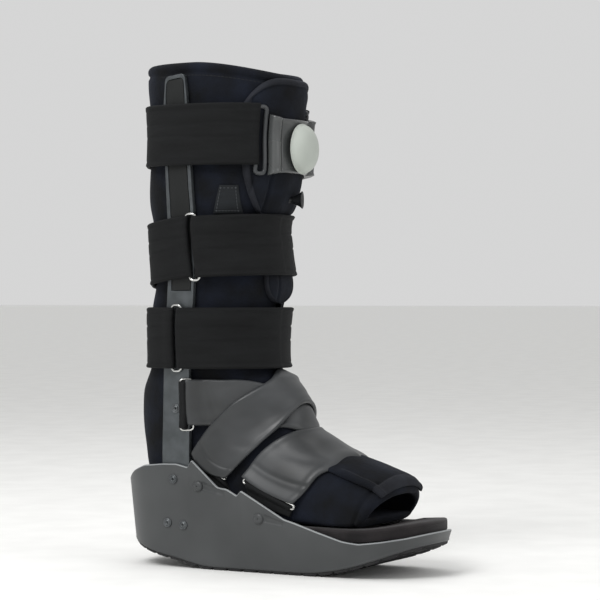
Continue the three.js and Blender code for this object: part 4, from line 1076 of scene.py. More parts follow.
RING_WIDTH = RING_SLOT + 2 * RING_WIRE
RING_HEIGHT = STRAP_WIDTH + 2 * RING_OVERHANG
RING_REACH = 1.6
LEG_WIRE_RADIUS = 1.15
TOP_RING_RADIUS = 1.9
FOOT_WIRE_RADIUS = 1.0
FOLD_LENGTH = 9
LAYER_END_TURN = 3
STRAP_STEP = 2.2
# Rib and groove along each edge: height, middle and width in millimetres
STRAP_EDGE = ((0.55, 1.8, 1.1), (-0.4, 4.6, 0.7))
# Creases along a strap: height; middle, width and wave as shares of its width; waves round it
STRAP_CREASES = (
    (-0.75, 0.68, 0.014, 0.015, 5),
    (-0.6, 0.47, 0.013, -0.015, 4),
)
STRAP_BOW = 0.5
STRAP_SWAY = 0.25
OUTER_LAYER = 1.5


def make_strap(name, start, end, level, swing, folded, layer_end=None):
    """Strap between two turns in degrees. folded: whether the start and the end go round
    a ring's bar, layer_end: the turn where its outer layer stops"""
    middle_line = wrap_point(np.radians(np.linspace(start, end, 200)), level, 0.0)
    length = sum(np.linalg.norm(np.diff(middle_line, axis=0), axis=1))

    def turns(a):
        return np.radians(mix(start, end, a))

    def near_ring(a):
        near = np.zeros_like(a)
        for there, share in zip(folded, (a, 1 - a)):
            if there:
                near = np.maximum(near, 1 - step(FOLD_LENGTH * 0.5, FOLD_LENGTH, share * length))
        return near

    def place(a, b, depth):
        turn = turns(a)
        z = level + swing * np.cos(turn) + (b - 0.5) * STRAP_WIDTH
        return wrap_point(turn, z, depth)

    def relief(a, b):
        turn = turns(a)
        margin = np.minimum(b, 1 - b) * STRAP_WIDTH
        creases = sum(
            height * bump(b + wave * np.sin(count * turn), middle, wide)
            for height, middle, wide, wave, count in STRAP_CREASES
        )
        bow = STRAP_BOW * np.sin(math.pi * b) + STRAP_SWAY * np.sin(4 * turn + 3 * b)
        over = 0.0
        if layer_end is not None:
            over = OUTER_LAYER * step(layer_end - 0.4, layer_end + 0.4, np.degrees(turn))
        return ridges(margin, STRAP_EDGE) + creases + bow + over

    # The webbing lies double where it folds round a bar
    def inner(a, b):
        return -0.9 * near_ring(a)

    def outer(a, b):
        return STRAP_THICKNESS + 0.7 * near_ring(a)

    counts = (int(length / STRAP_STEP), 34)
    span = (length, STRAP_WIDTH)
    return slab(name, place, STRAP_WEB, counts, span, (inner, outer), (2.2, 1.3), relief)


LOOP_CORNER_STEPS = 6


def rounded_loop(width, height, radius, spacing=3.0):
    """Points round a rounded rectangle, from its middle"""
    corners = []
    for k, (u, v) in enumerate(((1, 1), (-1, 1), (-1, -1), (1, -1))):
        for i in range(LOOP_CORNER_STEPS + 1):
            turn = (k + i / LOOP_CORNER_STEPS) * math.pi / 2
            corners.append((
                u * (width / 2 - radius) + radius * math.cos(turn),
                v * (height / 2 - radius) + radius * math.sin(turn),
            ))
    points = []
    for a, b in zip(corners, corners[1:] + corners[:1]):
        count = max(1, round(math.dist(a, b) / spacing))
        points.extend((mix(a[0], b[0], i / count), mix(a[1], b[1], i / count)) for i in range(count))
    return np.array(points)


def make_leg_ring(name, turn, z, radius, corner, material):
    u, v = rounded_loop(RING_WIDTH - RING_WIRE, RING_HEIGHT - RING_WIRE, corner).T
    degrees = turn + u * turn_for(1.0, turn, z)
    path = wrap_point(np.radians(degrees), z + v, RING_WIRE / 2 - CURVE_ROOM)
    return tube_along(name, path, radius, material, 12)


REACH_TOP = turn_for(RING_REACH, RING_TOP_TURN, STRAP_TOP)
top_strap = make_strap(
    "strap_top_woven", RING_TOP_TURN + REACH_TOP, 360 - RING_TOP_TURN - REACH_TOP, STRAP_TOP, 0,
    (True, True),
)
enter(top_strap, "strap_webbing", "strap_top")
STRAP_REAR_FALL = 9.5
STRAP_FRONT_RISE = 2.5
# name, level, fall of the rear part, rise of the front part, turn of the ring
RINGED_STRAPS = (
    ("middle", STRAP_MIDDLE, STRAP_REAR_FALL, STRAP_FRONT_RISE, RING_MIDDLE_TURN),
    ("lower", STRAP_LOWER, 0, 0, RING_LOWER_TURN),
)
for name, level, fall, rise, ring in RINGED_STRAPS:
    reach = turn_for(RING_REACH, ring, level)
    join = turn_for(FIT_GAP, STRAP_JOIN_TURN, level)
    rear = make_strap(
        f"strap_{name}_rear_woven", ring + reach, STRAP_JOIN_TURN, level, fall, (True, False)
    )
    front = make_strap(
        f"strap_{name}_front_woven", STRAP_JOIN_TURN - 360 + join, ring - reach, level, rise,
        (False, True), LAYER_END_TURN,
    )
    enter(rear, "strap_webbing", f"strap_{name}_rear")
    enter(front, "strap_webbing", f"strap_{name}_front")
    wire = make_leg_ring(f"ring_{name}_wire", ring, level, LEG_WIRE_RADIUS, 3.0, WIRE_SKIN)
    enter(wire, "ring_wire", f"ring_{name}")

TOP_RING_DROP = 5
for word, side in (("right", 1), ("left", -1)):
    ring = make_leg_ring(
        f"ring_top_{word}_moulded", side * RING_TOP_TURN, STRAP_TOP - TOP_RING_DROP,
        TOP_RING_RADIUS, 3.2, RING_SKIN,
    )
    enter(ring, "ring_plastic", f"ring_top_{word}")


# Shin plate: a barrel ridge by each ring, a groove, and a flat part that flares at its edges

SHIN_PLATE_THICKNESS = 3.4
SHIN_PLATE_HEIGHT = 46
SHIN_PLATE_DROP = 9
RIDGE_TURN = 25.6
RIDGE_WIDE = 4.6
RIDGE_HEIGHT = 5.4
GROOVE_TURN = 20
GROOVE_DEPTH = 1.8
EDGE_FLARE = 0.12


def make_shin_plate():
    end = RING_TOP_TURN - turn_for(RING_WIDTH / 2 + RING_GAP, RING_TOP_TURN, STRAP_TOP)

    def turns(a):
        return mix(-end, end, a)

    def place(a, b, depth):
        flare = 1 + EDGE_FLARE * (2 * a - 1) ** 4
        z = STRAP_TOP - SHIN_PLATE_DROP + (b - 0.5) * SHIN_PLATE_HEIGHT * flare
        return wrap_point(np.radians(turns(a)), z, depth)

    def relief(a, b):
        turn = np.abs(turns(a))
        inside = np.clip(1 - ((turn - RIDGE_TURN) / RIDGE_WIDE) ** 2, 0, 1)
        groove = bump(turn, GROOVE_TURN, 0.9)
        lip = 0.8 * bump(np.minimum(b, 1 - b) * SHIN_PLATE_HEIGHT, 1.6, 1.2)
        return RIDGE_HEIGHT * np.sqrt(inside) - GROOVE_DEPTH * groove + lip

    span = (2 * end / turn_for(1.0, 0, STRAP_TOP), SHIN_PLATE_HEIGHT)
    return slab(
        "shin_plate_moulded", place, SHIELD_SKIN, (150, 40), span,
        (0.0, SHIN_PLATE_THICKNESS), (1.4, 1.4), relief,
    )


enter(make_shin_plate(), "ring_plastic", "shin_plate")


# Pump and valve: turned forms that look forward


def turned_forward(name, node, profile, material, sides, lean=0.0):
    """Turned form that looks forward, or leans towards +X by some degrees"""
    low, high = (Vector(corner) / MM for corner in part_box(node))
    lean = math.radians(lean)
    x, z, base = (low.x + high.x) / 2, (low.z + high.z) / 2, high.y

    def place(radius, turns, reach):
        across, up = radius * np.cos(turns), radius * np.sin(turns)
        aside = across * math.cos(lean) + reach * math.sin(lean)
        forward = reach * math.cos(lean) - across * math.sin(lean)
        return np.stack([x + aside, base - forward, z + up], -1)

    return lathe(name, profile, place, material, sides)


PUMP_RADIUS = 21.5
PUMP_DEPTH = 12
PUMP_FOOT = 1.6
PUMP_LEDGE = 0.8
PUMP_STEPS = 20
PUMP_FULLNESS = 0.86
pump_profile = [
    (PUMP_RADIUS * 0.5, 0.0), (PUMP_RADIUS - 1, 0.0), (PUMP_RADIUS, 0.7), (PUMP_RADIUS, PUMP_FOOT),
]
# The last two rows stand close to the tip, so that the dome closes round
for k in (*range(PUMP_STEPS), PUMP_STEPS - 0.4, PUMP_STEPS - 0.05):
    rise = k / PUMP_STEPS * math.pi / 2
    pump_profile.append((
        (PUMP_RADIUS - PUMP_LEDGE) * math.cos(rise) ** PUMP_FULLNESS,
        PUMP_FOOT + (PUMP_DEPTH - PUMP_FOOT) * math.sin(rise),
    ))
pump = turned_forward("pump_bulb_moulded", "pump_bulb", pump_profile, PUMP_SKIN, 72)
enter(pump, "pump_rubber", "pump_bulb")
# radius and reach of the valve's stem, flare, rim and hollow face
VALVE_PROFILE = (
    (2.6, -1.0), (2.6, 2.4), (2.9, 3.2), (4.1, 6.0), (5.6, 9.0), (6.8, 10.6), (7.4, 11.1),
    (7.5, 11.6), (7.2, 12.0), (6.2, 12.0), (5.8, 11.4), (2.0, 11.0), (0.4, 11.0),
)
VALVE_LEAN = 20
valve = turned_forward("valve_knob_moulded", "valve_knob", VALVE_PROFILE, VALVE_SKIN, 40, VALVE_LEAN)
enter(valve, "valve_plastic", "valve_knob")


# Sole: plan of the shell, as in the solids, and heights along it

HEEL_ARC_CENTRE = HEEL_REAR - HEEL_WIDTH * 0.5
TOE_TIP = HEEL_REAR - SOLE_LENGTH
TOE_ARC_REACH = SOLE_WIDTH * 0.56
TOE_ARC_CENTRE = TOE_TIP + TOE_ARC_REACH
TOE_ARC_SQUARE = 2.35
# y: share of the sole's length from the heel's rear; rim: share of the shell's height
RIM_TABLE = (
    (0.0, 0.745), (0.03, 0.775), (0.07, 0.85), (0.12, 0.905), (0.19, 0.925), (0.235, 0.928),
    (0.27, 0.905), (0.2801, 0.9), (0.2821, 0.98), (0.375, 0.735), (0.405, 0.725), (0.44, 0.672),
    (0.4455, 0.665), (0.4475, 0.725), (0.595, 0.488), (0.63, 0.46), (0.7, 0.395), (0.78, 0.325),
    (0.83, 0.308), (0.89, 0.33), (0.95, 0.36), (1.0, 0.395),
)
# y: share of the sole's length; lift: share of the shell's height
ROCKER_TABLE = (
    (0.0, 0.215), (0.06, 0.17), (0.13, 0.12), (0.2, 0.08), (0.26, 0.04), (0.32, 0.0),
    (0.66, 0.0), (0.72, 0.02), (0.79, 0.062), (0.86, 0.125), (0.93, 0.2), (1.0, 0.275),
)
SIDE_POINTS = 190
ARC_POINTS = 64


def along_sole(y, table, scale, soften=1.5):
    """Height at y from a table of shares, its corners softened over a short length"""
    shares, values = np.array(table).T
    places = [(HEEL_REAR - y + shift * soften) / SOLE_LENGTH for shift in (-1, -0.5, 0, 0.5, 1)]
    return scale * sum(np.interp(place, shares, values) for place in places) / len(places)


def rim_at(y):
    return along_sole(y, RIM_TABLE, SHELL_HEIGHT)


def tread_at(y):
    return along_sole(y, ROCKER_TABLE, SHELL_HEIGHT, 9)


# y: share of the sole's length; rise: share of the toe's spring
SPRING_TABLE = ((0.0, 0), (0.83, 0), (0.92, 0.46), (1.0, 1))


def footbed_at(y):
    return FOOTBED_TOP + along_sole(y, SPRING_TABLE, TOE_SPRING, 6)


def wall_foot_at(y):
    return tread_at(y) + TREAD_DEPTH


def half_plan():
    """x, y and outward direction of the half outline from the heel to the toe"""
    turn = np.linspace(0, math.pi / 2, ARC_POINTS, endpoint=False)
    heel = np.stack([HEEL_HALF * np.sin(turn), HEEL_ARC_CENTRE + HEEL_HALF * np.cos(turn)], -1)
    t = np.linspace(0, 1, SIDE_POINTS, endpoint=False)
    width = mix(HEEL_HALF, SOLE_HALF, t * t * (3 - 2 * t))
    side = np.stack([width, mix(HEEL_ARC_CENTRE, TOE_ARC_CENTRE, t)], -1)
    turn = np.linspace(0, math.pi / 2, ARC_POINTS + 1)
    power = 2 / TOE_ARC_SQUARE
    wide, far = np.cos(turn).clip(0) ** power, np.sin(turn) ** power
    toe = np.stack([SOLE_HALF * wide, TOE_ARC_CENTRE - TOE_ARC_REACH * far], -1)
    plan = np.concatenate([heel, side, toe])
    slope = np.gradient(plan, axis=0)
    outward = np.stack([-slope[:, 1], slope[:, 0]], -1)
    outward /= np.linalg.norm(outward, axis=1)[:, None]
    outward[0], outward[-1] = (0, 1), (0, -1)
    return plan, outward


PLAN, OUTWARD = half_plan()


def sole_form(name, levels, material):
    """Closed form over the whole plan: each level gives its inset and height at the plan's y"""
    y = PLAN[:, 1]
    rings = []
    for inset, height in levels:
        x, along = (PLAN - OUTWARD * np.asarray(inset(y))[:, None]).T
        x = np.maximum(x, 0)
        half = np.stack([x, along, height(y)], -1)
        half[[0, -1], 0] = 0
        rings.append(np.concatenate([half, half[-2:0:-1] * (-1, 1, 1)]))
    count = len(rings[0])
    faces, _ = grid_faces(len(rings), count, False, True)
    i = np.arange(len(PLAN) - 1)
    caps = []
    for row in (0, len(rings) - 1):
        start = row * count
        strip = np.stack([start + i, start + (-i) % count, start + (-i - 1) % count, start + i + 1], -1)
        caps.append(strip if row == 0 else strip[:, ::-1])
    return new_object(name, np.concatenate(rings), np.concatenate([faces, *caps]), None, material)


DRAFT_FULL = 26
DRAFT_LEAST = 0.45
SKIRT = 2.6
SKIRT_EDGE = 1.2
SKIRT_EASE = 0.4


def draft_depth(y):
    """How far the wall leans in from rim to foot: less where it is low, at the toe"""
    return SHELL_DRAFT * np.clip((rim_at(y) - wall_foot_at(y)) / DRAFT_FULL, DRAFT_LEAST, 1)


def draft_at(y, z):
    foot = wall_foot_at(y)
    return draft_depth(y) * np.clip(1 - (z - foot) / (rim_at(y) - foot), 0, 1)


# Recesses in front of the studs. y: share of the sole's length; z: of the shell's height
RECESSES = ((0.32, 0.405, 0.745, 0.68), (0.527, 0.6, 0.485, 0.44))
RECESS_DEPTH = 1.3
RECESS_HALF = 3.6


def recess_at(y, z):
    share = (HEEL_REAR - y) / SOLE_LENGTH
    depth = 0.0
    for start, end, top, low in RECESSES:
        t = (share - start) / (end - start)
        middle = SHELL_HEIGHT * mix(top, low, t)
        wide = RECESS_HALF * (1 - 0.55 * np.clip(t, 0, 1))
        ends = step(-0.05, 0.1, t) * (1 - step(0.85, 1.0, t))
        inside = ends * (1 - step(0.75, 1.05, np.abs(z - middle) / wide))
        depth = depth + RECESS_DEPTH * inside
    return depth


RIM_ROUND = 1.5
WALL_LEVELS = 56
ROUND_STEPS = 10
# Levels of the rim's rounding that get the lighter plastic, a painted highlight
PAINTED_HIGHLIGHT_LEVELS = (WALL_LEVELS + 4, WALL_LEVELS + ROUND_STEPS)


def make_shell():
    def floor_top(y):
        return footbed_at(y) - FOOTBED_THICKNESS - FIT_GAP

    def wall(extra, height, cut=False):
        def inset(y):
            z = height(y)
            return draft_at(y, z) + extra + (recess_at(y, z) if cut else 0)

        return inset, height

    def up_wall(t):
        return lambda y: mix(wall_foot_at(y) - SKIRT + SKIRT_EDGE, rim_at(y) - RIM_ROUND, t)

    def round_over(turn, y):
        return rim_at(y) - RIM_ROUND + RIM_ROUND * math.sin(turn)

    levels = [
        wall(SHELL_WALL, lambda y: floor_top(y) - SHELL_FLOOR),
        wall(SHELL_WALL, wall_foot_at),
        wall(SKIRT_EDGE, lambda y: wall_foot_at(y) - SKIRT),
        wall(SKIRT_EASE, lambda y: wall_foot_at(y) - SKIRT + SKIRT_EASE),
    ]
    levels += [wall(0, up_wall(t), True) for t in np.linspace(0, 1, WALL_LEVELS)]
    for k in range(1, ROUND_STEPS):
        turn = k / ROUND_STEPS * math.pi
        extra = RIM_ROUND * (1 - math.cos(turn))
        levels.append(wall(extra, lambda y, turn=turn: round_over(turn, y)))
    levels.append(wall(SHELL_WALL, lambda y: rim_at(y) - RIM_ROUND))
    levels.append(wall(SHELL_WALL, floor_top))
    shell = sole_form("shell_moulded", levels, SHELL_SKIN)
    # The rounded rim's faces get the lighter copy of the plastic, a painted highlight
    shell.data.materials.append(RIM_PAINTED_HIGHLIGHT)
    count = 2 * len(PLAN) - 2
    for face in shell.data.polygons:
        level = min(face.vertices) // count
        face.material_index = int(PAINTED_HIGHLIGHT_LEVELS[0] <= level <= PAINTED_HIGHLIGHT_LEVELS[1])
    return shell


enter(make_shell(), "shell_plastic", "shell")


NOTCH_PITCH = 14.6
NOTCH_HALF = 1.5
NOTCH_RISE = 1.6
NOTCH_REACH = 6
TREAD_EASE = 0.4
LUG_ROUND = 0.8


def make_outsole():
    within = SHELL_WALL + FIT_GAP

    def notched(y):
        off = np.abs((y / NOTCH_PITCH) % 1 - 0.5) * NOTCH_PITCH
        return tread_at(y) + NOTCH_RISE * (1 - step(NOTCH_HALF * 0.7, NOTCH_HALF, off))

    def flat(extra):
        return lambda y: draft_depth(y) + extra

    def edge_top(y):
        return wall_foot_at(y) - FIT_GAP - TREAD_EASE

    edge = TREAD_INSET
    # From the top inside the shell, down the edge, and under to the end of the notches
    levels = [
        (flat(within), lambda y: footbed_at(y) - FOOTBED_THICKNESS - SHELL_FLOOR - 2 * FIT_GAP),
        (flat(within), lambda y: wall_foot_at(y) - FIT_GAP),
        (flat(edge + TREAD_EASE), lambda y: wall_foot_at(y) - FIT_GAP),
        (flat(edge), edge_top),
        (flat(edge), lambda y: mix(edge_top(y), notched(y) + LUG_ROUND, 0.5)),
        (flat(edge + 0.1), lambda y: notched(y) + LUG_ROUND),
        (flat(edge + LUG_ROUND), notched),
        (flat(edge + NOTCH_REACH), notched),
        (flat(edge + NOTCH_REACH + 0.6), tread_at),
    ]
    return sole_form("outsole_moulded", levels, TREAD_SKIN)


enter(make_outsole(), "tread_rubber", "outsole")

# Room beside the foam for the uprights. y: share of the sole's length
UPRIGHT_ROOM = ((0.0, 1), (0.34, 1), (0.48, 0), (1.0, 0))
# Inset and depth under the top of each level of the foam's edge, from its foot up
FOOTBED_LEVELS = (
    (0.4, FOOTBED_THICKNESS), (0.0, FOOTBED_THICKNESS - 1), (0.0, 7), (0.0, 5.5), (0.0, 4),
    (0.0, 3.2), (0.35, 2.9), (0.1, 2.5), (0.3, 1.2), (1.0, 0.4), (2.4, 0.0), (8, 0.0), (20, 0.3),
)
# The cloth edge begins at this level
CLOTH_EDGE_LEVEL = 6


def make_footbed():
    def side(y):
        room = along_sole(y, UPRIGHT_ROOM, UPRIGHT_THICKNESS + FIT_GAP, 6)
        floor = footbed_at(y) - FOOTBED_THICKNESS - FIT_GAP
        return draft_at(y, floor) + SHELL_WALL + FIT_GAP + room

    def level(extra, height):
        return lambda y: side(y) + extra, height

    def below(drop):
        return lambda y: footbed_at(y) - drop

    levels = [level(inset, below(drop)) for inset, drop in FOOTBED_LEVELS]
    footbed = sole_form("footbed_foam", levels, FOOTBED_SKIN)
    footbed.data.materials.append(FOOTBED_EDGE_SKIN)
    count = 2 * len(PLAN) - 2
    for face in footbed.data.polygons:
        face.material_index = int(min(face.vertices) // count >= CLOTH_EDGE_LEVEL)
    return footbed


enter(make_footbed(), "footbed_foam", "footbed", fill=1.0)


# Uprights and their inserts keep the solids' shape, with their edges eased


CORNER_REACH = 9
CORNER_FOLD = math.radians(50)


def round_top_corners(form, radius):
    """Rounds the two corners at the top of a flat bar, whose edges run across its thickness"""
    top = max(vert.co.z for vert in form.verts)
    corners = []
    for edge in form.edges:
        a, b = edge.verts
        across = abs(a.co.x - b.co.x)
        flat = math.hypot(a.co.y - b.co.y, a.co.z - b.co.z)
        folded = len(edge.link_faces) == 2 and edge.calc_face_angle() > CORNER_FOLD
        if folded and min(a.co.z, b.co.z) > top - CORNER_REACH * MM and across > 2 * flat:
            corners.append(edge)
    bmesh.ops.bevel(form, geom=corners, offset=radius * MM, segments=6, profile=0.5, affect="EDGES")


def eased_copy(node, name, width, material, corner):
    source = bpy.data.objects[node]
    obj = source.copy()
    obj.data = source.data.copy()
    obj.name = name
    bpy.context.scene.collection.objects.link(obj)
    form = bmesh.new()
    form.from_mesh(obj.data)
    bmesh.ops.remove_doubles(form, verts=form.verts, dist=0.01 * MM)
    bmesh.ops.dissolve_limit(
        form, angle_limit=math.radians(1.0), verts=form.verts, edges=form.edges
    )
    round_top_corners(form, corner)
    form.to_mesh(obj.data)
    form.free()
    obj.data.materials.clear()
    obj.data.materials.append(material)
    bevel = obj.modifiers.new("eased_edges", "BEVEL")
    bevel.width = width * MM
    bevel.segments = 3
    bevel.angle_limit = math.radians(35)
    bevel.harden_normals = False
    return shade_smooth(plain_mesh(obj))


# Webbing loops and wire rings of the foot bands

HEEL_IN_SHELL = HEEL_HALF - SHELL_WALL - FIT_GAP - UPRIGHT_THICKNESS
UPRIGHT_TOP = COLLAR_HEIGHT - UPRIGHT_DROP
# height: share of the upright's length, axis: share of the leg's depth behind the leg's axis
UPRIGHT_TABLE = (
    (0.0, 0.165), (0.2, 0.165), (0.4, 0.135), (0.54, 0.08), (0.7, 0.08), (0.78, 0.1),
    (0.92, 0.12), (1.0, 0.12),
)


def upright_face(across, z, depth, side):
    """Place on an upright above the shell, across it from its middle, over its inner face"""
    heights, shares = np.array(UPRIGHT_TABLE).T
    heights = mix(UPRIGHT_FOOT, UPRIGHT_TOP, heights)
    middle = LEG_AXIS + LEG_DEPTH * float(np.interp(z, heights, shares))
    ends = (middle + UPRIGHT_WIDTH / 2, middle - UPRIGHT_WIDTH / 2)
    inner = [max(HEEL_IN_SHELL, side_width(y, z) + UPRIGHT_STAND_OFF) for y in ends]
    t = across / UPRIGHT_WIDTH + 0.5
    return [side * (mix(inner[0], inner[1], t) + depth), middle - across, z]


def each(place, *grids):
    """Runs a place that takes single numbers over whole grids"""
    grids = np.broadcast_arrays(*grids)
    flat = [place(*values) for values in zip(*(grid.ravel() for grid in grids))]
    return np.array(flat).reshape(grids[0].shape + (3,))


def side_patch(corners, side):
    """Place on the liner's side, between corners rear top, front top, front bottom, rear bottom"""
    p, q, r, t = corners

    def single(u, v, out):
        y, z = mix(mix(p, q, u), mix(t, r, u), v)
        return side * (side_width(y, z) + out), y, z

    return lambda a, b, depth: each(single, a, b, depth)


LOOP_OUTER = LAYER_GAP + LOOP_THICKNESS
SIDE_RING_RISE = 6
# Corners rear top, front top, front bottom, rear bottom, then the ring's two ends
FOOT_LOOPS = {
    "instep": (
        ((0.612, 0.545), (0.455, 0.722), (0.4, 0.86), (0.57, 0.72)),
        ((0.607, 0.545), (0.44, 0.715)),
    ),
    "toe": (
        ((0.352, 0.712), (0.112, 0.872), (0.13, 0.945), (0.34, 0.86)),
        ((0.362, 0.715), (0.1, 0.885)),
    ),
}


def make_foot_loop(name, corners, side):
    corners = [np.array((foot_y(y), foot_z(down))) for y, down in corners]
    place = side_patch(corners, side)

    def relief(a, b):
        fold = (RING_WIRE + 1.2) * (1 - step(0.22, 0.5, b))
        return fold + 0.35 * bump(np.minimum(a, 1 - a), 0.05, 0.03) - 0.3 * bump(b, 0.5, 0.05)

    span = [np.linalg.norm(corners[0] - other) for other in (corners[1], corners[3])]
    return slab(name, place, LOOP_WEB, (26, 12), span, (LAYER_GAP, LOOP_OUTER), (1.0, 1.0), relief)


def make_foot_ring(name, ends, side):
    a, b = (np.array((foot_y(y), foot_z(down))) for y, down in ends)
    middle, length = (a + b) / 2, np.linalg.norm(b - a)
    unit = (b - a) / length
    depth = LOOP_OUTER + FIT_GAP + RING_WIRE / 2
    path = []
    for u, v in rounded_loop(length - RING_WIRE, SIDE_RING_RISE - RING_WIRE, 1.7):
        y, z = middle + unit * u + np.array((-unit[1], unit[0])) * v
        path.append((side * (side_width(y, z) + depth), y, z))
    return tube_along(name, path, FOOT_WIRE_RADIUS, WIRE_SKIN, 10)


ANKLE_LOOP_TOP = 160
ANKLE_LOOP_BOTTOM = 119
ANKLE_LOOP_WIDTH = 9
ANKLE_RING_SHIFT = 3
ANKLE_RING_SINK = 6.4


def make_ankle_loop(name, side):
    half = UPRIGHT_WIDTH / 2

    def place(a, b, depth):
        def single(u, v, out):
            across = mix(half - ANKLE_LOOP_WIDTH, half - 0.5, u)
            z = mix(ANKLE_LOOP_BOTTOM, ANKLE_LOOP_TOP, v)
            return upright_face(across, z, UPRIGHT_THICKNESS + FIT_GAP + out, side)

        return each(single, a, b, depth)

    span = (ANKLE_LOOP_WIDTH, ANKLE_LOOP_TOP - ANKLE_LOOP_BOTTOM)

    def relief(a, b):
        return (RING_WIRE + 1.4) * step(0.1, 0.4, a) + 0.3 * bump(np.minimum(b, 1 - b), 0.06, 0.03)

    return slab(name, place, LOOP_WEB, (10, 24), span, (0.0, LOOP_THICKNESS), (1.0, 1.0), relief)


def make_ankle_ring(name, side):
    width = ANKLE_LOOP_WIDTH
    height = ANKLE_LOOP_TOP - ANKLE_LOOP_BOTTOM + RING_WIRE
    across = UPRIGHT_WIDTH / 2 - ANKLE_LOOP_WIDTH / 2 + ANKLE_RING_SHIFT
    middle = (ANKLE_LOOP_TOP + ANKLE_LOOP_BOTTOM) / 2
    depth = UPRIGHT_THICKNESS + LOOP_THICKNESS + 2 * FIT_GAP + RING_WIRE / 2
    path = [
        upright_face(across + u, middle + v, depth - ANKLE_RING_SINK * (u / width + 0.5), side)
        for u, v in rounded_loop(width, height, 2.6)
    ]
    return tube_along(name, path, FOOT_WIRE_RADIUS, WIRE_SKIN, 10)


for word, side in (("right", -1), ("left", 1)):
    upright = eased_copy(f"upright_{word}", f"upright_{word}_pressed", 0.6, UPRIGHT_SKIN, 4)
    enter(upright, "upright_metal", f"upright_{word}")
    insert = eased_copy(f"upright_insert_{word}", f"upright_insert_{word}_moulded", 0.4, INSERT_SKIN, 2.5)
    enter(insert, "insert_plastic", f"upright_insert_{word}")
    for name, (corners, ends) in FOOT_LOOPS.items():
        loop = make_foot_loop(f"loop_{name}_{word}_woven", corners, side)
        enter(loop, "strap_webbing", f"loop_{name}_{word}")
        wire = make_foot_ring(f"ring_{name}_{word}_wire", ends, side)
        enter(wire, "ring_wire", f"ring_{name}_{word}")
    enter(make_ankle_loop(f"loop_ankle_{word}_woven", side), "strap_webbing", f"loop_ankle_{word}")
    enter(make_ankle_ring(f"ring_ankle_{word}_wire", side), "ring_wire", f"ring_ankle_{word}")


# Screws and studs by geometry nodes: one turned head set on every fixing


def heads_tree():
    tree, start = new_tree(
        "heads_on_fixings", "Heads", Places="Geometry", Head="Object", Finish="Material"
    )
    points = node(tree, "GeometryNodeMeshToPoints", links={0: start.outputs["Places"]})
    side = node(tree, "GeometryNodeInputNamedAttribute", values={"Name": "turn"}, data_type="FLOAT")
    turn = node(tree, "ShaderNodeCombineXYZ", links={2: side.outputs[0]})
    head = node(tree, "GeometryNodeObjectInfo", links={0: start.outputs["Head"]})
    return end_tree(tree, points, head.outputs["Geometry"], turn, start.outputs["Finish"])


HEADS_TREE = heads_tree()
# radius and reach of a head from its ring to its recess; it starts a little under the face
SCREW_PROFILE = (
    (3.9, -1.6), (4.0, 0.0), (4.0, 0.55), (3.7, 0.85), (3.3, 0.85), (3.1, 0.6), (2.9, 0.65),
    (2.6, 1.15), (2.1, 1.55), (1.6, 1.75), (1.35, 1.75), (1.2, 1.0), (0.4, 0.9),
)
STUD_PROFILE = (
    (4.5, -1.6), (4.6, 0.0), (4.55, 0.7), (4.3, 1.2), (3.7, 1.7), (2.8, 2.05), (1.6, 2.2), (0.5, 2.2),
)


def make_heads(name, nodes, profile, finish):
    def forward(radius, turns, reach):
        out = np.full_like(turns, reach)
        return np.stack([out, radius * np.cos(turns), radius * np.sin(turns)], -1)

    head = lathe(name + "_one", profile, forward, finish, 24)
    places, turns = [], []
    for word in nodes:
        low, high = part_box(word)
        right = low[0] < 0
        base = high[0] if right else low[0]
        places.append((base, (low[1] + high[1]) / 2, (low[2] + high[2]) / 2))
        turns.append(math.pi if right else 0.0)
    mesh = bpy.data.meshes.new(name)
    mesh.from_pydata(places, [], [])
    mesh.attributes.new("turn", "FLOAT", "POINT").data.foreach_set("value", turns)
    heads = run_tree(in_scene(name, mesh), HEADS_TREE, Head=head, Finish=finish)
    bpy.data.objects.remove(head)
    return shade_smooth(heads)


SIDES = ("right", "left")
SCREWS_AT = ("upright", "shell_top", "shell_rear", "shell_mid")
STUDS_AT = ("instep", "toe")
screws = [f"screw_{at}_{side}" for at in SCREWS_AT for side in SIDES]
studs = [f"stud_{at}_{side}" for at in STUDS_AT for side in SIDES]
enter(make_heads("screw_heads", screws, SCREW_PROFILE, SCREW_SKIN), "screw_metal", *screws)
enter(make_heads("stud_heads", studs, STUD_PROFILE, SHELL_SKIN), "shell_plastic", *studs)


# Sewn tab on the seen side, with a line of stitches round it

# y: share of the leg's depth forward of the axis; height: share of the leg's rise
TAB_CORNERS = ((0.205, 0.6), (0.325, 0.6), (0.325, 0.508), (0.15, 0.508))
TAB_SPAN = (20, 24)
TAB_THICKNESS = 1.4
TAB_DEPTH = FIT_GAP + CURVE_ROOM
tab_corners = [np.array((LEG_AXIS - y * LEG_DEPTH, leg_height(up))) for y, up in TAB_CORNERS]
tab_place = side_patch(tab_corners, -1)
tab = slab(
    "sewn_tab", tab_place, TAB_WEB, (16, 20), TAB_SPAN,
    (TAB_DEPTH, TAB_DEPTH + TAB_THICKNESS), (0.7, 0.7),
)
enter(tab, "liner_cloth", "liner_tab")
around = [(0.12, 0.1), (0.88, 0.1), (0.88, 0.9), (0.12, 0.9), (0.12, 0.1)]
tab_line = []
for (a0, b0), (a1, b1) in zip(around, around[1:]):
    t = np.linspace(0, 1, 12)
    tab_line.append(tab_place(mix(a0, a1, t), mix(b0, b1, t), TAB_DEPTH + TAB_THICKNESS + 0.1))
enter(stitches("tab_stitches", tab_line, THREAD_GREY, 2.6, 1.8, 0.25), "liner_cloth")


def collar_line(depth, s):
    turn = np.linspace(0, math.tau, 200)
    return liner_point(s, turn, depth)


collar_lines = [collar_line(0.2, COLLAR_SEAM + 2.4)]
enter(stitches("collar_stitches", collar_lines, THREAD, 3.4, 2.2, 0.22), "liner_cloth")


# Floor, light and camera

PALE = moulded_plastic("pale_floor", "#f0f0ee", "#f5f5f3", 0.9, 3, 0.0, 0.1)
FLOOR_HALF = 60


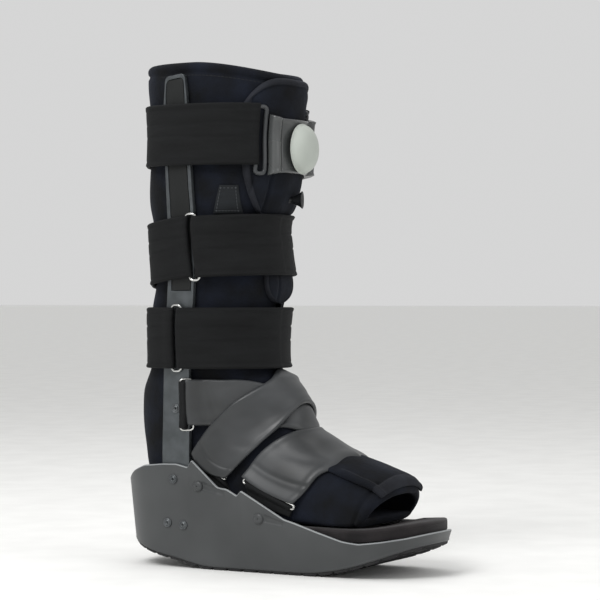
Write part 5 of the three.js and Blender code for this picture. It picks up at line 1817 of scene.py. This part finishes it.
def make_floor():
    corners = ((-1, -1), (1, -1), (1, 1), (-1, 1))
    points = [(FLOOR_HALF * x, FLOOR_HALF * y, 0) for x, y in corners]
    mesh = bpy.data.meshes.new("floor")
    mesh.from_pydata(points, [], [(0, 1, 2, 3)])
    mesh.materials.append(PALE)
    floor = in_scene("floor", mesh)


BOOT_MIDDLE = Vector((0, 0, 0.22))


def soft_light(name, azimuth, elevation, distance, size, power):
    """Square lamp that looks at the middle of the boot. azimuth: degrees from the toe side"""
    data = bpy.data.lights.new(name, "AREA")
    data.shape = "SQUARE"
    data.size = size
    data.energy = power
    lamp = in_scene(name, data)
    turn, rise = math.radians(azimuth), math.radians(elevation)
    away = Vector((math.sin(turn) * math.cos(rise), -math.cos(turn) * math.cos(rise), math.sin(rise)))
    lamp.location = BOOT_MIDDLE + away * distance
    lamp.rotation_euler = away.to_track_quat("Z", "Y").to_euler()


# The photograph's view: level, its turn from the toe side, and where it looks
VIEW_TURN = math.radians(62)
VIEW_DISTANCE = 2.0
VIEW_LENS = 139.5
VIEW_SHIFT = -0.0033
VIEW_AIM = Vector((0.01516, -0.0285, 0.23))


def make_camera():
    forward = Vector((math.sin(VIEW_TURN), math.cos(VIEW_TURN), 0))
    data = bpy.data.cameras.new("camera")
    data.sensor_width = 36
    data.lens = VIEW_LENS
    data.shift_y = VIEW_SHIFT
    camera = in_scene("camera", data)
    camera.location = VIEW_AIM - forward * VIEW_DISTANCE
    camera.rotation_euler = (math.radians(90), 0, -VIEW_TURN)
    bpy.context.scene.camera = camera


# name, azimuth, elevation, distance, size, power
LIGHTS = (
    ("key", -98, 42, 1.7, 0.8, 16),
    ("fill", -5, 25, 2.0, 1.2, 6),
    ("top", 150, 70, 1.8, 1.2, 7),
)
WORLD_STRENGTH = 0.74

make_floor()
for light in LIGHTS:
    soft_light(*light)
world = bpy.data.worlds.new("studio")
world.use_nodes = True
world.node_tree.nodes["Background"].inputs[0].default_value = linear("#f4f4f4")
world.node_tree.nodes["Background"].inputs[1].default_value = WORLD_STRENGTH
bpy.context.scene.world = world
bpy.context.scene.view_settings.view_transform = "Standard"
make_camera()

for piece, slot, nodes, fill in made:
    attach(piece, "root")
    if nodes:
        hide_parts(*nodes)
